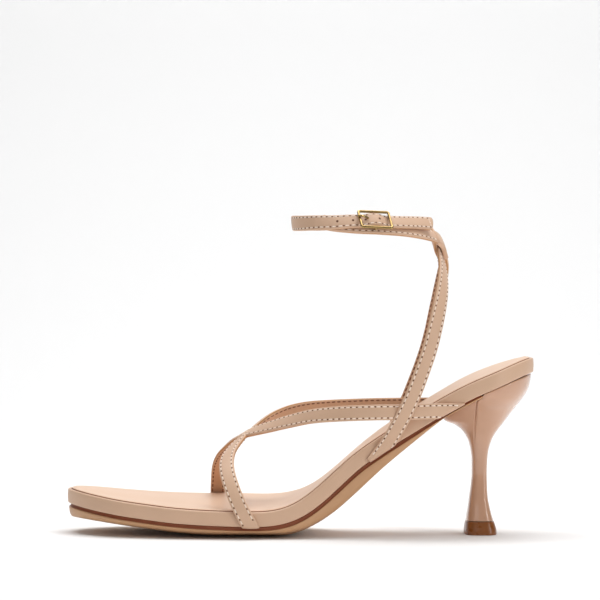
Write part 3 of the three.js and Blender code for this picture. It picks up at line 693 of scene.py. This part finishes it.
# forward: share of the foot's length from the heel's axis; side: share of the ball's width, or the side wall
# that the strap lies on; up: share of the ankle strap's height; facing: degrees from the lateral side by the
# back; lean: degrees upwards
lateral_ankle = [
    (0.233, "lateral", 0.228, 0, 0),
    (0.21, "lateral", 0.272, 2, 0),
    (0.187, -0.365, 0.33, 4, 0),
    (0.166, -0.4, 0.391, 7, 0),
    (0.149, -0.42, 0.449, 10, 0),
    (0.133, -0.426, 0.514, 13, 0),
    (0.119, -0.417, 0.574, 16, 0),
    (0.108, -0.389, 0.635, 20, 0),
    (0.098, -0.334, 0.697, 27, 0),
    (0.09, -0.255, 0.755, 36, 0),
    (0.086, -0.162, 0.806, 46, 0),
    (0.087, -0.065, 0.848, 58, 2),
    (0.092, 0.026, 0.888, 72, 8),
    (0.097, 0.117, 0.927, 92, 16),
    (0.107, 0.208, 0.955, 118, 22),
    (0.127, 0.299, 0.974, 142, 28),
    (0.162, 0.375, 0.984, 162, 28),
    (0.212, 0.408, 0.988, 176, 26),
    (0.273, 0.398, 0.988, 190, 23),
    (0.328, 0.338, 0.984, 215, 16),
    (0.37, 0.228, 0.981, 238, 6),
    (0.39, 0.091, 0.977, 258, -4),
    (0.392, -0.053, 0.971, 282, -5),
    (0.373, -0.187, 0.965, 308, 6),
    (0.343, -0.28, 0.962, 328, 18),
    (0.31, -0.333, 0.96, 343, 25),
]
medial_ankle = [
    (0.222, "medial", 0.24, 180, 0),
    (0.199, "medial", 0.284, 178, 0),
    (0.175, 0.325, 0.33, 175, 0),
    (0.154, 0.404, 0.391, 171, 0),
    (0.137, 0.427, 0.449, 167, 0),
    (0.12, 0.425, 0.514, 163, 0),
    (0.107, 0.403, 0.574, 158, 0),
    (0.097, 0.363, 0.635, 154, 0),
    (0.09, 0.307, 0.697, 150, 0),
    (0.083, 0.235, 0.762, 143, 0),
    (0.078, 0.163, 0.82, 130, 0),
    (0.076, 0.108, 0.857, 114, 2),
    (0.082, 0.05, 0.888, 98, 12),
    (0.088, -0.01, 0.912, 80, 24),
    (0.104, -0.075, 0.925, 60, 36),
    (0.13, -0.165, 0.931, 42, 42),
    (0.172, -0.255, 0.937, 28, 45),
    (0.226, -0.311, 0.941, 16, 45),
    (0.262, -0.328, 0.944, 6, 40),
    (0.285, -0.33, 0.948, -4, 36),
    (0.307, -0.309, 0.954, -17, 29),
    (0.337, -0.255, 0.965, -32, 25),
]
lateral_instep = [
    (0.042, "lateral", 0.389, 0, 0),
    (0.074, "lateral", 0.389, 0, 0),
    (0.12, -0.361, 0.388, -2, 0),
    (0.166, -0.382, 0.386, -4, 0),
    (0.217, -0.381, 0.385, -8, 3),
    (0.268, -0.356, 0.382, -14, 8),
    (0.314, -0.307, 0.377, -24, 16),
    (0.356, -0.242, 0.369, -34, 26),
    (0.397, -0.164, 0.354, -45, 31),
    (0.439, -0.078, 0.335, -60, 38),
    (0.48, 0.021, 0.31, -80, 46),
    (0.513, 0.124, 0.287, -108, 57),
    (0.536, 0.241, 0.259, -138, 55),
    (0.552, 0.357, 0.228, -160, 48),
    (0.562, 0.469, 0.19, -172, 36),
    (0.566, 0.559, 0.14, -178, 18),
    (0.568, "medial", 0.088, -180, 4),
    (0.568, "medial", 0.03, -180, 0),
]
medial_instep = [
    (0.037, "medial", 0.398, 180, 0),
    (0.074, "medial", 0.399, 180, 0),
    (0.12, 0.356, 0.399, 182, 0),
    (0.166, 0.397, 0.398, 184, 0),
    (0.222, 0.429, 0.396, 188, 2),
    (0.277, 0.429, 0.393, 195, 6),
    (0.323, 0.395, 0.39, 205, 12),
    (0.365, 0.338, 0.386, 216, 20),
    (0.406, 0.266, 0.376, 228, 30),
    (0.448, 0.174, 0.355, 243, 42),
    (0.478, 0.114, 0.332, 258, 50),
    (0.505, 0.041, 0.303, 275, 56),
    (0.524, -0.059, 0.267, 297, 55),
    (0.534, -0.163, 0.238, 320, 48),
    (0.534, -0.267, 0.201, 340, 38),
    (0.523, -0.351, 0.152, 354, 18),
    (0.506, "lateral", 0.095, 360, 3),
    (0.481, "lateral", 0.026, 360, 0),
]
# the fold's inner layer behind the ankle, and the tip of the free end
fold_inside = [
    (0.076, 0.142, 0.836, 118, 0),
    (0.085, 0.095, 0.864, 102, 2),
    (0.096, 0.046, 0.89, 88, 10),
    (0.103, -0.01, 0.912, 74, 24),
    (0.107, -0.07, 0.929, 58, 36),
]
free_tip = [
    (0.125, -0.147, 0.964, 38, 34),
    (0.107, -0.117, 0.963, 38, 32),
]

wall_line = moved_in(plan, -clear)
wall_line = np.roll(wall_line, -np.argmax(wall_line[:, 0]), axis=0)
toe_turn = np.argmin(wall_line[:, 0])
lateral_wall, medial_wall = wall_line[:toe_turn][::-1], wall_line[toe_turn:]


def wall_at(x, toward):
    """Y of the footbed's side wall at an X: toward is -1 for the lateral side and 1 for the medial side."""
    return np.interp(x, *(lateral_wall if toward < 0 else medial_wall).T)


def stations(rows):
    """Places in millimetres and the direction that the strap's face looks in, one for each row."""
    forward, up, facing, lean = [np.array([row[k] for row in rows], float) for k in (0, 2, 3, 4)]
    x = -forward * foot_length
    walls = {"lateral": -1, "medial": 1}
    y = [
        float(wall_at(at, walls[side])) if side in walls else side * ball_width
        for at, side in zip(x, (row[1] for row in rows))
    ]
    facing, lean = np.radians(facing), np.radians(lean)
    face = as_points(np.sin(facing) * np.cos(lean), -np.cos(facing) * np.cos(lean), np.sin(lean))
    return as_points(x, y, up * ankle_height), face


def smooth_through(points, per_span=24):
    """Centripetal Catmull-Rom: cubic spans through the points, timed by the roots of their distances."""
    p = np.vstack([2 * points[0] - points[1], points, 2 * points[-1] - points[-2]])
    p0, p1, p2, p3 = p[:-3], p[1:-2], p[2:-1], p[3:]
    d0, d1, d2 = [
        np.sqrt(np.linalg.norm(b - a, axis=1, keepdims=True)) for a, b in ((p0, p1), (p1, p2), (p2, p3))
    ]
    d1 = np.where(d1 < 1e-4, 1, d1)
    d0, d2 = np.where(d0 < 1e-4, d1, d0), np.where(d2 < 1e-4, d1, d2)
    start = ((p1 - p0) / d0 - (p2 - p0) / (d0 + d1) + (p2 - p1) / d1) * d1
    end = ((p2 - p1) / d1 - (p3 - p1) / (d1 + d2) + (p3 - p2) / d2) * d1
    t = np.linspace(0, 1, per_span, endpoint=False)[:, None, None]
    spans = p1 + t * start + t**2 * (3 * (p2 - p1) - 2 * start - end) + t**3 * (2 * (p1 - p2) + start + end)
    return np.vstack([spans.transpose(1, 0, 2).reshape(-1, 3), points[-1:]])


def unit(vectors):
    """Vectors of length 1."""
    return vectors / np.linalg.norm(vectors, axis=-1, keepdims=True)


def framed(at, face):
    """A route from its places and facings: its run, the direction out of its face and the one across it."""
    run = unit(np.gradient(at, axis=0))
    out_of = unit(face - run * np.sum(face * run, axis=1, keepdims=True))
    return {"at": at, "out": out_of, "up": unit(np.cross(out_of, run)), "run": run}


def route(rows, step=0.6):
    """A strap's route at even steps, with its bends eased over about 2 mm."""
    places, faces = rows if isinstance(rows, tuple) else stations(rows)
    line, face = smooth_through(places), smooth_through(faces)
    gone = travelled(line)
    even = np.linspace(0, gone[-1], int(gone[-1] / step) + 1)
    reach = 18
    line = np.pad(columns_at(even, gone, line), ((reach, reach), (0, 0)), mode="reflect", reflect_type="odd")
    return framed(softened(line, 3.5, "edge")[reach:-reach], columns_at(even, gone, face))


def lifted(way, place, amount, reach):
    """A route pushed out of its face by an amount at a place, easing to nothing over the reach as cos^2."""
    away = np.linalg.norm(way["at"] - place, axis=1, keepdims=True) / reach
    push = amount * np.cos(np.minimum(away, 1) * np.pi / 2) ** 2
    return framed(way["at"] + push * way["out"], way["out"])


# The inner ankle strap has passed behind the ankle by this share of its length.
behind_ankle = 0.62
medial_way = route(medial_ankle)
layer = strap_thickness + strap_dome + clear


def medial_spot(x):
    """The index on the medial strap's stretch along the ankle's outer side that is nearest to an X."""
    first = int(len(medial_way["at"]) * behind_ankle)
    return first + int(np.argmin(np.abs(medial_way["at"][first:, 0] - x)))


# forward and rise (share of the strap's width) of the free end's way over the medial strap
lap = np.array([(0.275, 0.17), (0.25, 0.22), (0.226, 0.28), (0.2, 0.32), (0.17, 0.4), (0.14, 0.56)])
lap_upright = 0.12
lap_at = [medial_spot(-forward * foot_length) for forward in lap[:, 0]]
lap_rise = lap[:, 1:] * strap_width
lap_up = medial_way["up"][lap_at] * np.sign(medial_way["up"][lap_at, 2:3])
lap_places = medial_way["at"][lap_at] + (layer + clear) * medial_way["out"][lap_at] + lap_rise * lap_up
lap_faces = medial_way["out"][lap_at] - lap_upright * lap_up
ankle_places, ankle_faces = stations(lateral_ankle)
tip_places, tip_faces = stations(free_tip)
lateral_way = route((
    np.vstack([ankle_places, lap_places, tip_places]), np.vstack([ankle_faces, lap_faces, tip_faces]),
))

buckle_forward = 0.233
wire = 0.62
buckle_length = 15.3
buckle_turn = 2.2
seat_at = medial_spot(-buckle_forward * foot_length)
buckle_out = medial_way["out"][seat_at]
buckle_up = medial_way["up"][seat_at] * np.sign(medial_way["up"][seat_at, 2])
tilt = np.radians(buckle_turn)
buckle_up = buckle_up * np.cos(tilt) + np.cross(buckle_out, buckle_up) * np.sin(tilt)
buckle_along = np.cross(buckle_up, buckle_out)
buckle_along = buckle_along * np.sign(buckle_along[0])
buckle_rise = np.interp(buckle_forward, *lap[::-1].T) * strap_width
over_bar = medial_way["at"][seat_at] + layer * buckle_out + buckle_rise * buckle_up
lateral_way = lifted(lateral_way, over_bar, 2 * wire + clear, buckle_length * 0.4)

# Where two straps cross, one is pushed out and the other in, by millimetres and over a reach.
shoe_sizes = np.array([-foot_length, ball_width, ankle_height])
instep_cross = shoe_sizes * (0.494, 0.067, 0.305)
lateral_instep_way = lifted(route(lateral_instep), instep_cross, 1.1, 20)
medial_instep_way = lifted(route(medial_instep), instep_cross, -0.9, 20)
medial_low_cross = shoe_sizes * (0.157, 0.395, 0.39)
medial_way = lifted(medial_way, medial_low_cross, 0.9, 16)
medial_instep_way = lifted(medial_instep_way, medial_low_cross, -1.0, 16)
lateral_low_cross = shoe_sizes * (0.168, -0.39, 0.388)
lateral_way = lifted(lateral_way, lateral_low_cross, 0.4, 14)
lateral_instep_way = lifted(lateral_instep_way, lateral_low_cross, -0.2, 14)


def lasted(points, height, toward):
    """A strap's end drawn round the footbed's lower corner: it thins, rolls about it and runs inwards."""
    x, y, z = points[..., 0], points[..., 1], points[..., 2]
    wall = wall_at(x, toward)
    corner_z = bed_bottom(x, wall) + clear + lasted_round
    stand_off = toward * (y - wall)
    drop = corner_z - z
    thinning = (1 - thinned_to) * smooth_step(drop, -6, 0) * smooth_step(-np.abs(stand_off), -9, -5)
    thinned = (1 - thinning) * height
    rolled = np.clip(drop / roll_length, 0, np.pi / 2)
    inward = np.clip(drop - roll_length * np.pi / 2, 0, tucked_under)
    slack = stand_off - height
    radius = lasted_round + thinned
    turned_out = slack * (1 - np.sin(rolled)) + radius * np.cos(rolled) - lasted_round - inward
    new_y = wall + toward * np.where(drop > 0, turned_out, slack + thinned)
    new_z = np.where(drop > 0, corner_z - radius * np.sin(rolled), z)
    return as_points(x, new_y, new_z)


def drawn_round(points, height, near_start, ends):
    """Points of a strap drawn round the footbed at its start and at its end, where ends name a side of it."""
    for chosen, toward in ((near_start, ends[0]), (~near_start, ends[1])):
        if toward is not None:
            points[chosen] = lasted(points[chosen], height[chosen], toward)
    return points


# The strap's section: across, height, and its material: skin, lining, or the raw edge between them. Its outer
# face is crowned, with a shallow furrow under each row of stitches; its edges are rounded, with a step where
# the lining starts.
half_face = np.array([0.6, 1.3, 1.9, 2.2, 2.38, 2.5, 2.62, 2.75, 2.9])
face_across = np.concatenate([-half_face[::-1], [0], half_face])
furrow = 0.13 * np.exp(-((np.abs(face_across) - stitch_line) / 0.2) ** 2)
face_height = strap_thickness + strap_dome * (1 - (face_across / 3.5) ** 2) - furrow
edge_across = np.array([3.18, 3.38, 3.48, 3.5, 3.48, 3.34, 3.32, 3.3, 3.05])
edge_height = np.array([1.58, 1.42, 1.18, 0.9, 0.66, 0.6, 0.5, 0.12, 0.0])
back_across = np.array([2.5, 1.2, 0, -1.2, -2.5])
section = np.concatenate([
    as_points(face_across, face_height), as_points(edge_across, edge_height),
    as_points(back_across, 0.0), as_points(-edge_across, edge_height)[::-1],
])
edge_part = [0, 0, 0, 2, 2, 2, 1, 1, 1]
section_part = [0] * len(face_across) + edge_part + [1] * len(back_across) + edge_part[-2::-1] + [0]


def band(way, widths=1.0, start=0, stop=None, ends=(None, None), outline=section, slant=0.0):
    """A section swept along a route: widths scale it across, slant shears its ends, ends are drawn round."""
    at, up, out_of, run = [way[key][start:stop][:, None] for key in ("at", "up", "out", "run")]
    widths, slant = [np.broadcast_to(value, len(at))[:, None, None] for value in (widths, slant)]
    sideways = outline[None, :, :1] * widths
    points = at + (up + run * slant) * sideways + out_of * outline[None, :, 1:]
    height = np.broadcast_to(outline[None, :, 1], points.shape[:2])
    points = drawn_round(points, height, np.arange(len(points)) < len(points) // 2, ends)
    first, final = [end.mean(axis=1, keepdims=True) + 0 * end for end in (points[:1], points[-1:])]
    return np.concatenate([first, points, final])


# Unfinished lining split: its fibres show as a soft orange-brown nap, deeper than the skin outside.
nap = {"Scale": 1100, "Detail": 4, "Roughness": 0.7}
lining_leather = two_tone(
    "tanned_lining", ("C89C7C", "D4AB8C"), nap, {"IOR": 1.45, "Roughness": 0.75, "Sheen Weight": 0.1},
    relief=("TexNoise", nap, 0.4, 0.00008),
)[0]

# Where skin and lining meet, the cut edge shows its core: golden brown, fibrous and matt.
raw_edge = two_tone(
    "raw_leather_edge", ("A8743F", "C8955A"), {"Scale": 1500, "Detail": 3}, {"IOR": 1.45, "Roughness": 0.8},
)[0]

# The free end's corners are rounded, and its tip is cut a little askew.
from_tip = np.linalg.norm(lateral_way["at"] - lateral_way["at"][-1], axis=1)
from_tip[:len(from_tip) // 2 + 1] = foot_length
end_gap = np.clip(end_round - from_tip, 0, end_round)
lateral_widths = 1 - (end_round - np.sqrt(end_round**2 - end_gap**2)) / (strap_width / 2)
tip_slant = 0.3 * smooth_step(-from_tip, -12, -1)

strap_bands = {
    "lateral_ankle_strap": band(lateral_way, lateral_widths, ends=(-1, None), slant=tip_slant),
    "medial_ankle_strap": band(medial_way, ends=(1, None)),
    "lateral_instep_strap": band(lateral_instep_way, ends=(-1, 1)),
    "medial_instep_strap": band(medial_instep_way, ends=(1, -1)),
    "fold_inner_layer": band(route(fold_inside)),
}
for name, rings in strap_bands.items():
    parts = np.tile(np.array(section_part, np.int32), len(rings) - 1)
    strap = piece(name, *grid(rings), [strap_leather, lining_leather, raw_edge], parts)
    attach(strap, "root")
    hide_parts("upper")

# The fold
# A smooth length of the inner ankle strap, doubled and unstitched, wraps the outer one behind the ankle.
fold_low = 128.5
fold_side = -5
medial_index = np.arange(len(medial_way["at"]))
rising = medial_index < len(medial_index) * behind_ankle
fold_from = int(np.argmax(rising & (medial_way["at"][:, 2] > fold_low)))
fold_to = int(np.argmax((medial_index > fold_from) & (medial_way["at"][:, 1] < fold_side)))
half_fold = np.array([
    (2.2, 2.25), (3.3, 2.1), (3.62, 1.9), (3.75, 1.55), (3.75, 0.3), (3.6, 0.02), (3.3, -0.06),
])
fold_section = np.concatenate([[(0, 2.3)], half_fold, [(0, -0.06)], half_fold[::-1] * [-1, 1]])
fold_rings = band(medial_way, start=fold_from, stop=fold_to, outline=fold_section)
fold = piece("ankle_fold", *grid(fold_rings), [strap_leather])
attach(fold, "root")
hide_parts("upper")


# Stitches and holes
# Lockstitch in bonded thread, one row along each edge and on both faces, 2.7 mm a stitch. Each stitch dives
# into a needle hole. The billet's holes are punched about 6 mm apart.
def turned(along, radii, sides):
    """Rings of a round shape about its first axis: radii at places along it."""
    angle = np.linspace(0, 2 * np.pi, sides, endpoint=False)
    along, radii = along[:, None], radii[:, None]
    return as_points(along, radii * np.cos(angle), radii * np.sin(angle))


def capsule(length, radius, sides=6):
    """A short thread, a little flattened, whose radii close at both ends."""
    along = np.array([-0.5, -0.44, -0.3, 0.3, 0.44, 0.5]) * length
    return grid(turned(along, np.array([0, 0.7, 1, 1, 0.7, 0]) * radius, sides) * [1, 1, 0.8])


def button(radius, height, sides):
    """A low disc, upright: a centre point, a ring at its height, one lower and wider, and one at its foot."""
    rings = turned(np.array([1, 1, 0.6, -1]) * height, np.array([0, 0.85, 1, 1]) * radius, sides)
    return grid(np.roll(rings, -1, axis=-1))


def set_along(shape, way, distance, side, height, ends=(None, None), crosswise=False):
    """Copies of a shape at distances along a route, at a side and a height, drawn round where it is."""
    points, quads = shape
    gone = travelled(way["at"])
    spot = {key: columns_at(distance, gone, way[key]) for key in ("at", "run", "up", "out")}
    first, second = ("up", "run") if crosswise else ("run", "up")
    side = np.broadcast_to(side, distance.shape)[:, None]
    base = spot["at"] + spot["up"] * side + spot["out"] * height
    copies = (
        base[:, None]
        + spot[first][:, None] * points[None, :, :1]
        + spot[second][:, None] * points[None, :, 1:2]
        + spot["out"][:, None] * points[None, :, 2:]
    )
    heights = np.broadcast_to(height + points[None, :, 2], copies.shape[:2])
    copies = drawn_round(copies, heights, distance < gone[-1] / 2, ends)
    shift = np.arange(len(distance))[:, None, None] * len(points)
    return copies.reshape(-1, 3), (quads[None] + shift).reshape(-1, 4)


def joined(parts):
    """Several shapes as one list of points and one of quads."""
    sizes = np.cumsum([0] + [len(points) for points, quads in parts[:-1]])
    quads = np.vstack([quads + size for (points, quads), size in zip(parts, sizes)])
    return np.vstack([points for points, quads in parts]), quads


def length_of(way):
    """The whole length of a route."""
    return float(travelled(way["at"])[-1])


thread = capsule(length=1.75, radius=0.33)
# Each needle hole is a low disc coloured as painted shade, standing for the hole's shadow.
needle_hole = button(radius=0.38, height=0.05, sides=8)
outer_face = strap_thickness + 0.02
# each route, the footbed sides that it ends on, and how far before its end the rows of stitches stop
routes = [
    (lateral_way, (-1, None), 1.7), (medial_way, (1, None), 1.0),
    (lateral_instep_way, (-1, 1), 4.0), (medial_instep_way, (1, -1), 4.0),
]
step_length = length_of(medial_way) / (len(medial_way["at"]) - 1)
fold_span = (fold_from * step_length - 0.6, fold_to * step_length + 0.4)
outer_threads, inner_threads, needle_holes = [], [], []
for way, ends, margin in routes:
    count = int((length_of(way) - margin - stitch_start) / stitch_pitch)
    marks = stitch_start + np.arange(count + 1) * stitch_pitch
    if way is medial_way:
        marks = marks[(marks < fold_span[0]) | (marks > fold_span[1])]
    for row_side in (-stitch_line, stitch_line):
        outer_threads.append(set_along(thread, way, marks, row_side, outer_face, ends))
        inner_threads.append(set_along(thread, way, marks, row_side, -0.02, ends))
        between = marks + stitch_pitch / 2
        needle_holes.append(set_along(needle_hole, way, between, row_side, outer_face + 0.06, ends))

across_fold = np.array([-1.6, 0.0, 1.6])
fold_mark = np.full(3, fold_from * step_length - 0.9)
outer_threads.append(set_along(capsule(1.2, 0.25), medial_way, fold_mark, across_fold, 1.86, crosswise=True))
end_mark = np.full(3, length_of(lateral_way) - 1.7)
outer_threads.append(set_along(capsule(1.3, 0.25), lateral_way, end_mark, across_fold, 1.78, crosswise=True))

# Bonded polyester thread matches the leather's hue and shines a little more, with its twist at 0.4 mm. It is
# drawn paler than the leather, partly its own tone and partly painted highlight along the stitches.
sewing_thread = two_tone(
    "bonded_thread", ("EFD8C4", "FBEBDD"), {"Scale": 2500, "Detail": 2}, {"IOR": 1.5, "Roughness": 0.4},
)[0]

# The bobbin thread on the lining side is drawn dark brown as painted shade, for the shade on the straps'
# inner faces, and it sinks into the nap.
shadowed_thread = two_tone(
    "bonded_thread_inside", ("6E452E", "8A5A3E"), {"Scale": 2500, "Detail": 2},
    {"IOR": 1.5, "Roughness": 0.6},
)[0]

# Inside a punched or pierced hole the fibres are raw and in shadow. The holes are drawn as low discs on the
# strap's face, nearly black brown as painted shade, with no shine.
hole_shade_leather = two_tone(
    "painted_hole_shade", ("5A3A2A", "7A5440"), {"Scale": 2000, "Detail": 2}, {"IOR": 1.4, "Roughness": 0.9},
)[0]

billet_x = np.array([-66.2, -59.9, -53.6, -48.3])
ankle_line = lateral_way["at"]
elsewhere = (np.arange(len(ankle_line)) <= len(ankle_line) * 0.6) | (ankle_line[:, 1] > 0)
hole_steps = np.argmin(np.abs(ankle_line[:, :1] - billet_x) + 1e3 * elsewhere[:, None], axis=0)
hole_marks = hole_steps * length_of(lateral_way) / (len(ankle_line) - 1)
# Each billet hole is a low disc coloured as painted shade, standing for the hole's shadow.
punched = set_along(button(0.55, 0.06, 16), lateral_way, hole_marks, 0.0, strap_thickness + strap_dome)

sewn = [
    ("stitches_outside", joined(outer_threads), sewing_thread),
    ("stitches_inside", joined(inner_threads), shadowed_thread),
    ("needle_holes", joined(needle_holes), hole_shade_leather),
    ("billet_holes", punched, hole_shade_leather),
]
for name, (points, quads), material in sewn:
    made = piece(name, points, quads, [material])
    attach(made, "root")

# Buckle and prong
# A frame of thin brass wire, pressed square and plated pale gold, its centre bar held in the strap's fold.
# The prong turns on that bar, comes up through a punched hole and rests on the frame's front bar.
buckle_height = 11.6
buckle_lift = 2.55
buckle_dip = 1.3
prong_radius = 0.5
bar_lift = strap_thickness + strap_dome + clear + wire
buckle_centre = over_bar - layer * buckle_out - buckle_rise / 2 * buckle_up + bar_lift * buckle_out


def in_buckle(points):
    """Points given along, up and out of the buckle, in the frame's axes."""
    return buckle_centre + points @ np.stack([buckle_along, buckle_up, buckle_out])


def wire_along(path, radii, square_of, sides=16, closed=False, beside=(0, 0, 1)):
    """A bar carried along a path in the buckle's axes: its section is a superellipse of the given radii."""
    angle = np.linspace(0, 2 * np.pi, sides, endpoint=False)
    c, s = np.cos(angle), np.sin(angle)
    radius = (np.abs(c) ** square_of + np.abs(s) ** square_of) ** (-1 / square_of)
    if closed:
        run = unit(np.roll(path, -1, axis=0) - np.roll(path, 1, axis=0))
    else:
        run = unit(np.gradient(path, axis=0))
    first = unit(np.cross(run, beside))
    second = np.cross(run, first)
    girth = np.reshape(radii, (-1, 1, 1)) * radius[None, :, None]
    return path[:, None] + girth * (first[:, None] * c[None, :, None] + second[:, None] * s[None, :, None])


half_l, half_h = buckle_length / 2 - wire, buckle_height / 2 - wire
corner_turn = np.linspace(0, np.pi / 2, 9)
bend_radius = 0.8
centre_x, centre_y = half_l - bend_radius, half_h - bend_radius
frame_path = np.vstack([
    as_points(
        sign_x * centre_x + bend_radius * np.cos(corner_turn + quarter_turn * np.pi / 2),
        sign_y * centre_y + bend_radius * np.sin(corner_turn + quarter_turn * np.pi / 2),
        buckle_lift,
    )
    for quarter_turn, (sign_x, sign_y) in enumerate([(1, 1), (-1, 1), (-1, -1), (1, -1)])
])
frame_rings = wire_along(frame_path, wire, square_of=2.2, closed=True)
frame_rings = np.concatenate([frame_rings, frame_rings[:1]])
frame_shape = grid(in_buckle(frame_rings))

low = half_h - buckle_dip
bar_path = smooth_through(np.array([
    (0, -half_h, buckle_lift), (0, -low, 0.1), (0, -low / 2, 0), (0, 0, 0), (0, low / 2, 0), (0, low, 0.1),
    (0, half_h, buckle_lift),
], float), 8)
bar_rings = wire_along(bar_path, wire * 0.9, square_of=2, beside=(1, 0, 0))
bar_shape = grid(in_buckle(bar_rings))

# Tumbled brass under a flash of pale gold: bright, with a fine haze from tumbling. Its base colour is drawn
# darker than pale gold, as painted shade for the dark reflections along the frame's bars.
gold_plate, tree = blank_material("gold_plated_brass")
place = node(tree, "TexCoord").outputs["Object"]
haze = node(tree, "TexNoise", inputs={"Scale": 1500, "Detail": 3}, links={"Vector": place})
gloss = node(tree, "MapRange", inputs={"To Min": 0.06, "To Max": 0.16}, links={"Value": haze.outputs["Fac"]})
shader = node(
    tree, "BsdfPrincipled", inputs={"Base Color": linear("A68C5C"), "Metallic": 1.0},
    links={"Roughness": gloss.outputs["Result"]},
)
node(tree, "OutputMaterial", links={"Surface": shader.outputs["BSDF"]})

buckle = piece("buckle_frame", *joined([frame_shape, bar_shape]), [gold_plate])
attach(buckle, "root")
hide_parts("buckle")

front_bar = wire - buckle_length / 2
over_front = buckle_lift + wire + clear * 0.2 + prong_radius
prong_path = smooth_through(np.array([
    (-(wire + clear + prong_radius), buckle_rise / 2, 0),
    (front_bar * 0.5, buckle_rise / 2, over_front * 0.72),
    (front_bar, buckle_rise / 2, over_front),
    (front_bar - 1.4, buckle_rise / 2, over_front * 0.86),
]), 12)
taper = np.concatenate([np.full(len(prong_path) - 6, 1.0), [0.97, 0.9, 0.8, 0.62, 0.38, 0.02]])
prong_rings = wire_along(prong_path, prong_radius * taper, square_of=2.2, beside=(0, 1, 0))
prong = piece("buckle_prong", *grid(in_buckle(prong_rings)), [gold_plate])
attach(prong, "root")
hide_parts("prong")
